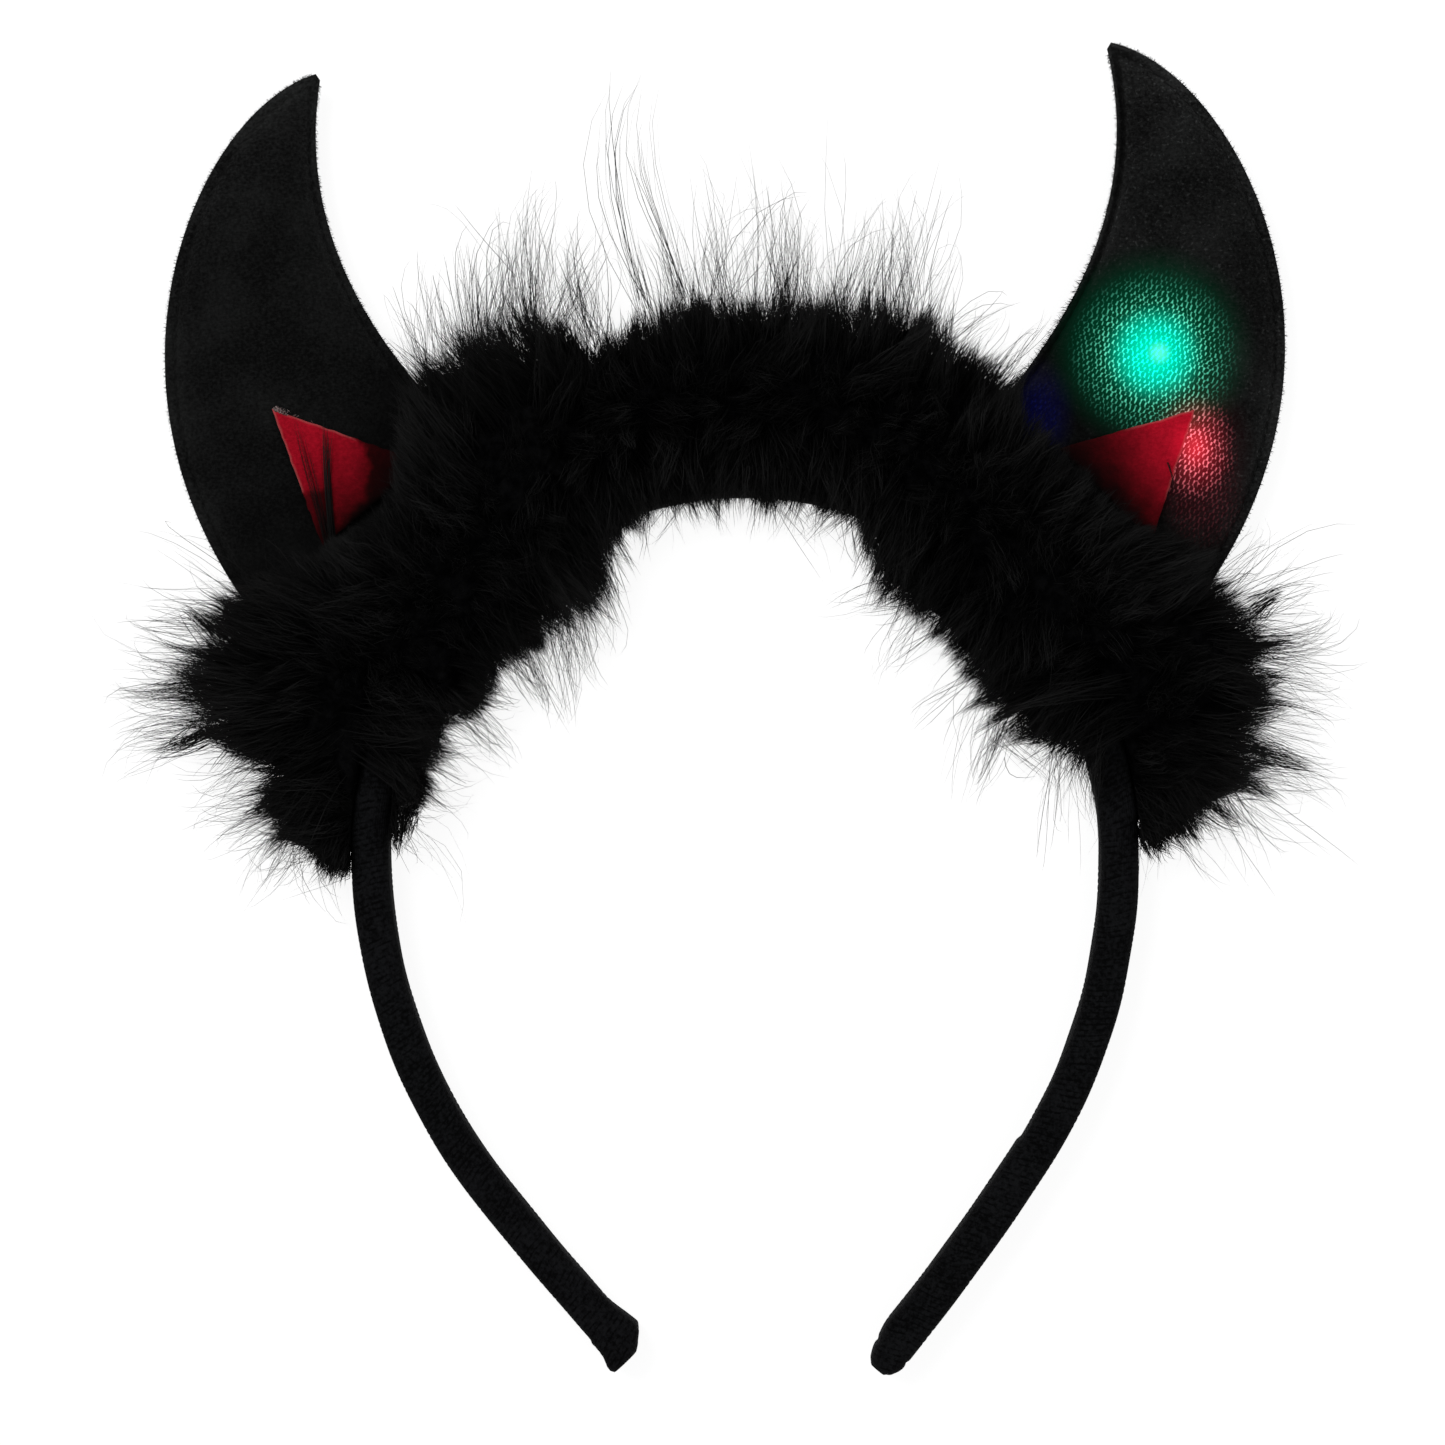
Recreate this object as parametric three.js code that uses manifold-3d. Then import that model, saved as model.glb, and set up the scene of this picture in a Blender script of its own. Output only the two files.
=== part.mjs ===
// Light-up horns headband, lying flat on its back: a ribbed cloth band with open ends, two padded felt
// horns, a felt patch on each horn, a feather boa along the crown and three lamps inside the right horn.
// Millimetres. X runs from ear to ear, Y from the open ends to the horn tips, Z up from the surface.

import * as THREE from 'three';
import { mergeVertices } from 'three/addons/utils/BufferGeometryUtils.js';
import Module from 'manifold-3d';

const wasm = await Module();
wasm.setup();

// Plan sizes are measured from the middle of the crown's arc, which lies below the middle of the box
const CROWN_MIDDLE_Y = -23.5;
const GAP = 0.3;

// Band: its centre line from the top of the crown to each open end, as arcs that run on smoothly, with the
// degrees that each arc turns on the left and on the right
const CROWN_RADIUS = 65.4;
const BAND_ARCS = [
  { stretch: 'crown', radius: CROWN_RADIUS, left: 90, right: 90 },
  { stretch: 'side', radius: 97, left: 35.5, right: 35.5 },
  { stretch: 'leg', radius: 400, left: 5.6, right: 6.4 },
];
const BAND_THICK = 6.7;
const BAND_DEPTH = 10;
const BAND_CORNER = 2.3;
const BAND_CORNER_SHARE = 0.45;
const BAND_STEP = 9;

// Band ends: half thickness towards the head and away from it, and how far front and back draw in
const ROUNDED_END = [
  { from_end: 0, inner: 1.2, outer: 1.6, draw_in: 2.4 },
  { from_end: 1, inner: 2.1, outer: 2.6, draw_in: 1 },
  { from_end: 3.2, inner: 2.9, outer: 3.3, draw_in: 0.2 },
  { from_end: 7.5, inner: 3.35, outer: 3.35, draw_in: 0 },
];
const FOLDED_END = [
  { from_end: 0, inner: 0.9, outer: 4.2, draw_in: 1.2 },
  { from_end: 0.9, inner: 2.1, outer: 4.4, draw_in: 0.4 },
  { from_end: 3.6, inner: 4.4, outer: 3.5, draw_in: 0 },
  { from_end: 5.4, inner: 4.2, outer: 3.35, draw_in: 0 },
  { from_end: 11, inner: 3.35, outer: 3.35, draw_in: 0 },
];
const BAND_END_LENGTH = 14;

// Horns: the curve of each edge from its root under the boa to the tip, as plan points of the right horn
const HORN_OUTER_EDGE = { root: [62.6, 22.8], low: [121.5, 68], high: [94.7, 132.4], tip: [69.6, 139] };
const HORN_INNER_EDGE = { root: [29.4, 58.5], low: [48.7, 76.7], high: [76.1, 101.2], tip: [68.9, 137.9] };
const HORN_MIDDLE_Z = 5.4;
const HORN_STEPS = 16;
const PAD_SHARE = 0.15;
const PAD_MOST = 4.3;
const SEAM_WIDTH = 1.6;
const SEAM_HALF = 0.6;
const SEAM_SHARE = 0.28;
const FELT_WALL = 1.2;
const HOLLOW_END = 0.86;
const PAD_POINTS = 3;
const ROOT_CUT_SIDES = 90;

// Patches: plan corners on the horn's front
const PATCH_THICK = 1;
const PATCH_ROOM = 1.07;
const PATCHES = [
  { name: 'left_patch', side: -1, upper: [79.1, 80.4], inner: [53.1, 70], lower: [71.3, 56.2] },
  { name: 'right_patch', side: 1, upper: [81.3, 73.9], inner: [57.3, 68.1], lower: [72.8, 51.3] },
];

// Lamps: place along the right horn from root to tip, and across it from inner to outer edge
const LAMP_RADIUS = 1.5;
const LAMP_HEIGHT = 2.2;
const LAMP_SIDES = 10;
const DOME_STEPS = 4;
const LAMPS = [
  { name: 'led_green', along: 0.414, across: 0.484, colour: 0x1fd79a },
  { name: 'led_red', along: 0.289, across: 0.767, colour: 0xe01a10 },
  { name: 'led_blue', along: 0.301, across: 0.2, colour: 0x2a49d8 },
];

// Boa backing: reach from the crown's middle and height, by the turn from the top, alike on both sides
const BOA_ROWS = [
  { turn: 0, inner: 66.5, outer: 91, height: 14 },
  { turn: 16, inner: 66.5, outer: 93, height: 15 },
  { turn: 26, inner: 58, outer: 96, height: 17 },
  { turn: 33, inner: 54, outer: 92, height: 20 },
  { turn: 50, inner: 53, outer: 88, height: 20 },
  { turn: 60, inner: 53, outer: 93, height: 18 },
  { turn: 67, inner: 54, outer: 97, height: 16 },
  { turn: 75, inner: 56, outer: 95, height: 14 },
  { turn: 81, inner: 59, outer: 86, height: 11 },
  { turn: 88, inner: 64, outer: 75, height: 8 },
];
const BOA_STEP = 6;
const BOA_POINTS = 7;
const BOA_BARE_FROM = 63;
const BOA_CLEAR_HEIGHT = 40;
const BOA_CLEAR_BELOW = 1;
const BOA_CLEAR_TO = 126;
const SURFACE_SPAN = 400;

// Boa locks: families of tufts, with where each starts and how far it runs out and up, those beside the
// top on both sides
const LOCKS = [
  { family: 'top_rim', first: -30, last: 30, count: 12, root: 81, level: 5, reach: 20, rise: 2, thick: 7 },
  { family: 'top_upper', first: -26, last: 26, count: 8, root: 76, level: 9, reach: 16, rise: 8, thick: 7 },
  { family: 'side_rim', first: 61, last: 84, count: 6, root: 82, level: 5, reach: 21, rise: 1, thick: 7 },
  { family: 'side_upper', first: 64, last: 80, count: 4, root: 78, level: 8, reach: 15, rise: 7, thick: 6.5 },
  { family: 'cover', first: 33, last: 62, count: 6, root: 75, level: 14, reach: 17, rise: 0, thick: 5.4 },
  { family: 'crest', first: 23, last: 63, count: 6, root: 70, level: 14, reach: 8, rise: 12, thick: 6.4 },
  { family: 'brow', first: 26, last: 58, count: 4, root: 63, level: 14, reach: -6, rise: 8, thick: 6 },
  { family: 'inner', first: 27, last: 79, count: 9, root: 61, level: 5, reach: -12, rise: 2, thick: 6.4 },
  { family: 'top_wisps', first: -27, last: 25, count: 8, root: 87, level: 6, reach: 29, rise: 2, thick: 3.6 },
  { family: 'plume', first: -8, last: -6, count: 2, root: 87, level: 5, reach: 42, rise: 3, thick: 3.6 },
];
const LOCK_PROFILE = [
  { along: 0.12, thick: 0.72 },
  { along: 0.42, thick: 1 },
  { along: 0.74, thick: 0.62 },
];
const LOCK_SIDES = 5;
const LOCK_VARIES = 0.2;
const LOCK_LEAN = 0.35;
const LOCK_DROOP = 0.2;
const LOCK_FULL_TO = 74;
const LOCK_NONE_AT = 94;
const LOCK_CURL = 0.16;
const LOCK_FLATTEN = 0.8;
const SCATTER_START = 37;
const SCATTER_RATE = 12.9898;
const SCATTER_SCALE = 43758.5453;

const FELT_BLACK = { color: 0x16161a, roughness: 0.95, metalness: 0 };
const FELT_RED = { color: 0xb80f1c, roughness: 0.9, metalness: 0 };
const CLOTH_BLACK = { color: 0x0e0e11, roughness: 0.8, metalness: 0 };
const FEATHER_BLACK = { color: 0x0c0c0e, roughness: 0.85, metalness: 0 };
const LAMP_FINISH = { roughness: 0.3, metalness: 0 };

// Joining sections and solids

// A closed body through sections that have equally many points, each placed in space by its own function
function loft(sections) {
  const count = sections[0].outline.length;
  const points = sections.flatMap(({ outline, place }) => outline.map(place));
  const triangles = [];
  for (let row = 0; row < sections.length - 1; row += 1) {
    for (let k = 0; k < count; k += 1) {
      const a = row * count + k;
      const b = row * count + ((k + 1) % count);
      triangles.push([a, b, a + count], [b, b + count, a + count]);
    }
  }
  const last = (sections.length - 1) * count;
  for (const first of [0, last]) {
    const ring = points.slice(first, first + count);
    const middle = ring.reduce((sum, point) => sum.add(point), new THREE.Vector3()).divideScalar(count);
    const hub = points.push(middle) - 1;
    for (let k = 0; k < count; k += 1) {
      const [a, b] = [first + k, first + ((k + 1) % count)];
      triangles.push(first === 0 ? [hub, b, a] : [hub, a, b]);
    }
  }
  const volume = triangles.reduce((sum, [a, b, c]) => (
    sum + points[a].dot(points[b].clone().cross(points[c]))
  ), 0);
  const facing = volume > 0 ? triangles : triangles.map(([a, b, c]) => [a, c, b]);
  const geometry = new THREE.BufferGeometry().setFromPoints(points);
  geometry.setIndex(facing.flat());
  return geometry;
}

function solidFrom(geometry) {
  const bare = geometry.clone();
  bare.deleteAttribute('normal');
  bare.deleteAttribute('uv');
  const merged = mergeVertices(bare, 1e-4);
  const mesh = new wasm.Mesh({
    numProp: 3,
    vertProperties: Float32Array.from(merged.attributes.position.array),
    triVerts: Uint32Array.from(merged.index.array),
  });
  return new wasm.Manifold(mesh);
}

function geometryFrom(solid) {
  const { vertProperties, triVerts } = solid.getMesh();
  const geometry = new THREE.BufferGeometry();
  geometry.setAttribute('position', new THREE.BufferAttribute(vertProperties, 3));
  geometry.setIndex(new THREE.BufferAttribute(triVerts, 1));
  geometry.computeVertexNormals();
  return geometry;
}

// The largest of the separate bodies that a cut leaves
function largestBody(solid) {
  return solid.decompose().reduce((best, body) => (body.volume() > best.volume() ? body : best));
}

// Band

function bandLength(side) {
  return BAND_ARCS.reduce((sum, arc) => sum + arc.radius * THREE.MathUtils.degToRad(arc[side]), 0);
}

const leftLength = bandLength('left');
const rightLength = bandLength('right');

// Point and outward direction of the centre line, a length from the top of the crown, right side positive
function bandFrame(length) {
  const side = Math.sign(length) || 1;
  const point = new THREE.Vector2(0, CROWN_RADIUS);
  let heading = 0;
  let left = Math.abs(length);
  for (const arc of BAND_ARCS) {
    const { radius } = arc;
    const turn = Math.min(left / radius, THREE.MathUtils.degToRad(side < 0 ? arc.left : arc.right));
    point.x += radius * (Math.sin(heading + turn) - Math.sin(heading));
    point.y += radius * (Math.cos(heading + turn) - Math.cos(heading));
    heading += turn;
    left -= turn * radius;
  }
  const outward = new THREE.Vector2(side * Math.sin(heading), Math.cos(heading));
  return { point: point.set(side * point.x, point.y), outward };
}

// Rounded rectangle, x outward across the band and y up through its depth, with three points a corner
function bandOutline({ inner, outer, bottom, top, corner }) {
  const corners = [
    { x: outer - corner, y: bottom + corner, start: -90 },
    { x: outer - corner, y: top - corner, start: 0 },
    { x: corner - inner, y: top - corner, start: 90 },
    { x: corner - inner, y: bottom + corner, start: 180 },
  ];
  return corners.flatMap(({ x, y, start }) => [0, 45, 90].map((step) => {
    const angle = THREE.MathUtils.degToRad(start + step);
    return new THREE.Vector2(x + corner * Math.cos(angle), y + corner * Math.sin(angle));
  }));
}

function bandSection(length, size) {
  const { point, outward } = bandFrame(length);
  const place = ({ x, y }) => new THREE.Vector3(point.x + outward.x * x, point.y + outward.y * x, y);
  return { outline: bandOutline(size), place };
}

function bandGeometry() {
  const half = BAND_THICK / 2;
  const plain = { inner: half, outer: half, bottom: 0, top: BAND_DEPTH, corner: BAND_CORNER };
  const endSections = (rows, side) => rows.map(({ from_end, inner, outer, draw_in }) => {
    const corner = Math.min(BAND_CORNER, (inner + outer) * BAND_CORNER_SHARE);
    const size = { inner, outer, bottom: draw_in, top: BAND_DEPTH - draw_in, corner };
    return bandSection(side < 0 ? from_end - leftLength : rightLength - from_end, size);
  });
  const [from, to] = [BAND_END_LENGTH - leftLength, rightLength - BAND_END_LENGTH];
  const steps = Math.round((to - from) / BAND_STEP);
  const sections = endSections(FOLDED_END, -1);
  for (let k = 0; k <= steps; k += 1) {
    sections.push(bandSection(from + ((to - from) * k) / steps, plain));
  }
  sections.push(...endSections(ROUNDED_END, 1).reverse());
  return loft(sections);
}

// Room for the band inside the boa, open to the front where the band shows there
function bandClearance(from, to, top) {
  const half = BAND_THICK / 2 + GAP;
  const size = { inner: half, outer: half, bottom: -BOA_CLEAR_BELOW, top, corner: BAND_CORNER };
  const steps = Math.ceil((to - from) / BAND_STEP);
  const sections = [];
  for (let k = 0; k <= steps; k += 1) {
    sections.push(bandSection(from + ((to - from) * k) / steps, size));
  }
  return solidFrom(loft(sections));
}

// Horns

function edgeCurve({ root, low, high, tip }) {
  return new THREE.CubicBezierCurve(...[root, low, high, tip].map(([x, y]) => new THREE.Vector2(x, y)));
}

const outerEdge = edgeCurve(HORN_OUTER_EDGE);
const innerEdge = edgeCurve(HORN_INNER_EDGE);

// Across the horn at a place along it: the inner edge point, the direction to the outer edge and the width
function hornFrame(along) {
  const start = innerEdge.getPoint(along);
  const across = outerEdge.getPoint(along).sub(start);
  const width = across.length();
  return { start, across: across.divideScalar(width), width };
}

function padHalf(width) {
  return Math.min(PAD_MOST, PAD_SHARE * width);
}

// One face of a padded section: distances from the inner edge and half depths, rising inside the seam
function padProfile(width, seam, seamHalf, rise) {
  const half = width / 2;
  const rising = [];
  for (let k = 0; k <= PAD_POINTS; k += 1) {
    const turn = (Math.PI / 2) * (k / PAD_POINTS);
    const distance = seam + (half - seam) * (1 - Math.cos(turn));
    rising.push({ distance, depth: seamHalf + rise * Math.sin(turn) });
  }
  if (seam > 0) {
    rising.unshift({ distance: 0, depth: seamHalf });
  }
  const falling = rising.slice(0, -1).reverse();
  return [...rising, ...falling.map(({ distance, depth }) => ({ distance: width - distance, depth }))];
}

function hornSection(along, side, profile, offset) {
  const { start, across } = hornFrame(along);
  const front = profile.map(({ distance, depth }) => new THREE.Vector2(distance + offset, depth));
  const back = [...front].reverse().map(({ x, y }) => new THREE.Vector2(x, -y));
  const pointed = front[0].y === 0;
  const outline = pointed ? [...front, ...back.slice(1, -1)] : [...front, ...back];
  const place = ({ x, y }) => {
    const plan = across.clone().multiplyScalar(x).add(start);
    return new THREE.Vector3(side * plan.x, plan.y, HORN_MIDDLE_Z + y);
  };
  return { outline, place };
}

// The horn's outer form, grown all round to make room in what surrounds it
function hornForm(side, grow) {
  const sections = [];
  for (let k = 0; k <= HORN_STEPS; k += 1) {
    const along = k / HORN_STEPS;
    const { width } = hornFrame(along);
    const seam = Math.min(SEAM_WIDTH, SEAM_SHARE * width);
    const profile = padProfile(width + 2 * grow, seam, SEAM_HALF + grow, padHalf(width));
    sections.push(hornSection(along, side, profile, -grow));
  }
  return solidFrom(loft(sections));
}

// Half depth of the hollow at its middle, a felt wall inside the horn's face
function hollowHalf(width) {
  return SEAM_HALF + padHalf(width) - FELT_WALL;
}

function hornHollow(side) {
  const inset = SEAM_WIDTH + FELT_WALL;
  const sections = [];
  for (let k = 0; k <= HORN_STEPS; k += 1) {
    const along = (HOLLOW_END * k) / HORN_STEPS;
    const { width } = hornFrame(along);
    const profile = padProfile(width - 2 * inset, 0, 0, hollowHalf(width));
    sections.push(hornSection(along, side, profile, inset));
  }
  return solidFrom(loft(sections));
}

function crownDisc() {
  const radius = CROWN_RADIUS + BAND_THICK / 2 + GAP;
  const disc = new THREE.CylinderGeometry(radius, radius, BOA_CLEAR_HEIGHT * 2, ROOT_CUT_SIDES);
  return solidFrom(disc.rotateX(Math.PI / 2));
}

function hornGeometry(side) {
  return geometryFrom(hornForm(side, 0).subtract(hornHollow(side)).subtract(crownDisc()));
}

// Patches

// The patch's plan, as large as the patch or a little larger, drawn up from the middle of the horn
function patchPrism({ side, upper, inner, lower }, scale) {
  const corners = [upper, inner, lower].map(([x, y]) => new THREE.Vector2(side * x, y));
  const middle = corners.reduce((sum, corner) => sum.add(corner), new THREE.Vector2()).divideScalar(3);
  corners.forEach((corner) => corner.sub(middle).multiplyScalar(scale).add(middle));
  const prism = new THREE.ExtrudeGeometry(new THREE.Shape(corners), {
    depth: BOA_CLEAR_HEIGHT,
    bevelEnabled: false,
  });
  return solidFrom(prism.translate(0, 0, HORN_MIDDLE_Z));
}

// Felt that follows the horn's front, from one height above it to another
function patchLayer(patch, from, to, scale = 1) {
  return patchPrism(patch, scale).intersect(hornForm(patch.side, to)).subtract(hornForm(patch.side, from));
}

// Lamps

function lampGeometry({ along, across }) {
  const { start, across: direction, width } = hornFrame(along);
  const distance = width * across;
  const plan = direction.clone().multiplyScalar(distance).add(start);
  const inset = SEAM_WIDTH + FELT_WALL;
  const half = width / 2 - inset;
  const nearEdge = Math.min(distance, width - distance) - inset - LAMP_RADIUS;
  const depth = hollowHalf(width) * Math.sqrt(1 - (1 - nearEdge / half) ** 2);
  const profile = [new THREE.Vector2(0, 0), new THREE.Vector2(LAMP_RADIUS, 0)];
  for (let k = 0; k < DOME_STEPS; k += 1) {
    const turn = (Math.PI / 2) * (k / DOME_STEPS);
    profile.push(new THREE.Vector2(LAMP_RADIUS * Math.cos(turn), LAMP_HEIGHT + LAMP_RADIUS * Math.sin(turn)));
  }
  profile.push(new THREE.Vector2(0, LAMP_HEIGHT + LAMP_RADIUS));
  const lamp = new THREE.LatheGeometry(profile, LAMP_SIDES).rotateX(Math.PI / 2);
  lamp.translate(plan.x, plan.y, HORN_MIDDLE_Z - depth + GAP);
  return geometryFrom(solidFrom(lamp));
}

// Boa

function boaRow(turn) {
  const upper = BOA_ROWS.findIndex((row) => row.turn >= Math.abs(turn) && row.turn > 0);
  const [a, b] = [BOA_ROWS[upper - 1], BOA_ROWS[upper]];
  const share = (Math.abs(turn) - a.turn) / (b.turn - a.turn);
  const between = (key) => THREE.MathUtils.lerp(a[key], b[key], share);
  return { inner: between('inner'), outer: between('outer'), height: between('height') };
}

function boaBacking() {
  const end = BOA_ROWS[BOA_ROWS.length - 1].turn;
  const steps = Math.round((2 * end) / BOA_STEP);
  const sections = [];
  for (let k = 0; k <= steps; k += 1) {
    const turn = -end + (2 * end * k) / steps;
    const { inner, outer, height } = boaRow(turn);
    const outline = [];
    for (let point = 0; point < BOA_POINTS; point += 1) {
      const angle = (Math.PI * point) / (BOA_POINTS - 1);
      const radius = (inner + outer) / 2 + ((outer - inner) / 2) * Math.cos(angle);
      outline.push(new THREE.Vector2(radius, height * Math.sin(angle)));
    }
    const angle = THREE.MathUtils.degToRad(turn);
    const place = ({ x, y }) => new THREE.Vector3(x * Math.sin(angle), x * Math.cos(angle), y);
    sections.push({ outline, place });
  }
  return solidFrom(loft(sections));
}

// A repeatable irregular value from -1 to 1
function scatter(seed) {
  const wave = Math.sin(seed * SCATTER_RATE) * SCATTER_SCALE;
  return 2 * (wave - Math.floor(wave)) - 1;
}

// A tuft that swells and runs to a point, bent sideways, and drooping towards the legs near the boa's ends
function lockSolid(family, side, index, seed) {
  const share = index / (family.count - 1);
  const degrees = THREE.MathUtils.lerp(family.first, family.last, share);
  const turn = side * THREE.MathUtils.degToRad(degrees);
  const outward = new THREE.Vector3(Math.sin(turn), Math.cos(turn), 0);
  const sideways = new THREE.Vector3(outward.y, -outward.x, 0);
  const fullness = 1 - THREE.MathUtils.smoothstep(Math.abs(degrees), LOCK_FULL_TO, LOCK_NONE_AT);
  const reach = family.reach * fullness * (1 + LOCK_VARIES * scatter(seed));
  const droop = LOCK_DROOP * Math.sin(turn) * Math.abs(Math.sin(turn));
  const run = outward.clone().multiplyScalar(reach);
  run.addScaledVector(sideways, Math.abs(reach) * (droop + LOCK_LEAN * scatter(seed + 0.3)));
  run.z = family.rise * (1 + LOCK_VARIES * scatter(seed + 0.6));
  const length = run.length();
  const profile = LOCK_PROFILE.map(({ along, thick }) => (
    new THREE.Vector2(family.thick * thick, length * along)
  ));
  const tuft = new THREE.LatheGeometry(
    [new THREE.Vector2(0, 0), ...profile, new THREE.Vector2(0, length)],
    LOCK_SIDES,
  );
  const position = tuft.attributes.position;
  const curl = LOCK_CURL * length * scatter(seed + 0.8);
  for (let k = 0; k < position.count; k += 1) {
    const bend = curl * (position.getY(k) / length) ** 2;
    position.setX(k, position.getX(k) * LOCK_FLATTEN + bend);
  }
  const upright = new THREE.Vector3(0, 1, 0);
  tuft.applyQuaternion(new THREE.Quaternion().setFromUnitVectors(upright, run.normalize()));
  tuft.translate(outward.x * family.root, outward.y * family.root, family.level);
  return solidFrom(tuft);
}

function boaGeometry() {
  let boa = boaBacking();
  let seed = SCATTER_START;
  for (const family of LOCKS) {
    for (const side of family.first > 0 ? [-1, 1] : [1]) {
      for (let index = 0; index < family.count; index += 1) {
        seed += 1;
        boa = boa.add(lockSolid(family, side, index, seed));
      }
    }
  }
  const bareFrom = CROWN_RADIUS * THREE.MathUtils.degToRad(BOA_BARE_FROM);
  const reach = CROWN_RADIUS * THREE.MathUtils.degToRad(BOA_CLEAR_TO);
  const under = new THREE.BoxGeometry(SURFACE_SPAN, SURFACE_SPAN, BOA_CLEAR_HEIGHT);
  under.translate(0, 0, -BOA_CLEAR_HEIGHT / 2);
  const rooms = [
    bandClearance(-reach, reach, BAND_DEPTH + GAP),
    bandClearance(-reach, -bareFrom, BOA_CLEAR_HEIGHT),
    bandClearance(bareFrom, reach, BOA_CLEAR_HEIGHT),
    hornForm(-1, GAP),
    hornForm(1, GAP),
    ...PATCHES.map((patch) => patchLayer(patch, 0, PATCH_THICK + 2 * GAP, PATCH_ROOM)),
    solidFrom(under),
  ];
  const clear = rooms.reduce((solid, room) => solid.subtract(room), boa);
  return geometryFrom(largestBody(clear));
}

// Assembly

const headband = new THREE.Group();
headband.position.y = CROWN_MIDDLE_Y;

function addPiece(name, geometry, finish) {
  const mesh = new THREE.Mesh(geometry, new THREE.MeshStandardMaterial(finish));
  mesh.name = name;
  headband.add(mesh);
}

addPiece('headband', bandGeometry(), CLOTH_BLACK);
addPiece('left_horn', hornGeometry(-1), FELT_BLACK);
addPiece('right_horn', hornGeometry(1), FELT_BLACK);
for (const patch of PATCHES) {
  addPiece(patch.name, geometryFrom(patchLayer(patch, GAP, GAP + PATCH_THICK)), FELT_RED);
}
for (const lamp of LAMPS) {
  addPiece(lamp.name, lampGeometry(lamp), { ...LAMP_FINISH, color: lamp.colour });
}
addPiece('feather_boa', boaGeometry(), FEATHER_BLACK);

export default headband;
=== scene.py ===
"""Looks of the light-up horns headband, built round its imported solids.

Plan sizes are in millimetres from the middle of the crown's arc, as in the part's source, and go to metres in
the part's frame when a mesh is made.
"""

import math
from functools import cached_property

import bpy
import numpy as np
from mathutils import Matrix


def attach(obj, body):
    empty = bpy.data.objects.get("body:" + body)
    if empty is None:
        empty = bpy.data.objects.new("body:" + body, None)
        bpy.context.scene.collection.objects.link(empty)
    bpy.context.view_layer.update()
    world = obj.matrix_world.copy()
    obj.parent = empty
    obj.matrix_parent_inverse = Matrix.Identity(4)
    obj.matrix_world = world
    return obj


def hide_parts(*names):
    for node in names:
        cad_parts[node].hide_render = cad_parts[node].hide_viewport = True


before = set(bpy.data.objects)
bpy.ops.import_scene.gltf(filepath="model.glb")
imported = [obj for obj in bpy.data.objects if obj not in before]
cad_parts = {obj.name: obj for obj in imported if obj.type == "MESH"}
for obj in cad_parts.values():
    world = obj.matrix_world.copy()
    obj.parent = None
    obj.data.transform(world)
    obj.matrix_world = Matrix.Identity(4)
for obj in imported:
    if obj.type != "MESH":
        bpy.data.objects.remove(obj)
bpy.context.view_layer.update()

MM = 0.001
CROWN_MIDDLE_Y = -23.5
BODY = "root"
BAKE_MAP = "OFBake"
CLOTH_MAP = "cloth"
# Distance from an edge, as a share of this many millimetres
EDGE_MAP = "edge"
EDGE_SPAN = 10
# Waves that add up to each irregular surface
RIPPLE_WAVES = 10

# Band, as in the part's source: radius of each arc and the degrees that it turns on the left and right
CROWN_RADIUS = 65.4
BAND_ARCS = ((CROWN_RADIUS, 90, 90), (97, 35.5, 35.5), (400, 5.6, 6.4))
BAND_HALF = 3.35
BAND_INNER = CROWN_RADIUS - BAND_HALF
BAND_DEPTH = 10
BAND_CORNER = 2.3
BAND_CORNER_SHARE = 0.45
# Rows of distance from the end, half thickness inside and outside, and how far front and back draw in
ROUNDED_END = ((0, 1.2, 1.6, 2.4), (1, 2.1, 2.6, 1), (3.2, 2.9, 3.3, 0.2), (7.5, 3.35, 3.35, 0))
FOLDED_END = (
    (0, 0.9, 4.2, 1.2), (0.9, 2.1, 4.4, 0.4), (3.6, 4.4, 3.5, 0), (5.4, 4.2, 3.35, 0), (11, 3.35, 3.35, 0),
)
RIB_PITCH = 1.06
RIB_HEIGHT = 0.1
RIB_SLANT = 0.3
RIB_WANDER = 0.3
RIB_SAMPLES = 6
THREAD_PITCH = 0.42
BAND_CORNER_POINTS = 5
BAND_SIDE_POINTS = 2
WRAP_STEP_AT = 47.6
WRAP_STEP_HALF = 0.8
WRAP_STEP = 0.4
FOLD_STEP = 0.35
END_SEAM_AT = 2.9
END_SEAM_DEPTH = 0.22

# Horns, as in the part's source: plan points of the right horn's edges from root to tip
HORN_OUTER_EDGE = ((62.6, 22.8), (121.5, 68), (94.7, 132.4), (69.6, 139))
HORN_INNER_EDGE = ((29.4, 58.5), (48.7, 76.7), (76.1, 101.2), (68.9, 137.9))
HORN_MIDDLE_Z = 5.4
PAD_SHARE = 0.15
PAD_MOST = 4.3
SEAM_WIDTH = 1.6
SEAM_HALF = 0.6
SEAM_SHARE = 0.28
ROOT_CUT_RADIUS = CROWN_RADIUS + BAND_HALF + 0.3
HORN_STEPS = 210
EDGE_STEPS = (0, 0.12, 0.35, 0.7, 1.05, 1.35, 1.6, 1.8, 2.0, 2.25, 2.6, 3.2, 4.0, 5.0)
EDGE_FULL_WIDTH = 15
HORN_INNER_POINTS = 8
STITCH_PITCH = 2.3
NAP_FIBRES = 5000

# Patches, as in the part's source: side, then plan corners
PATCHES = {
    "left_patch": (-1, (79.1, 80.4), (53.1, 70), (71.3, 56.2)),
    "right_patch": (1, (81.3, 73.9), (57.3, 68.1), (72.8, 51.3)),
}
# Brightness of each patch, and the distances from the crown's middle between which it darkens towards the
# boa: painted shade of the boa
PATCH_TONES = {"left_patch": (0.56, 86, 104.5), "right_patch": (0.72, 88, 105.5)}
PATCH_GAP = 0.3
PATCH_THICK = 1.0
PATCH_STEPS = 44
PATCH_TRIM = 0.955
FRAY_THREADS = 44

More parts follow.
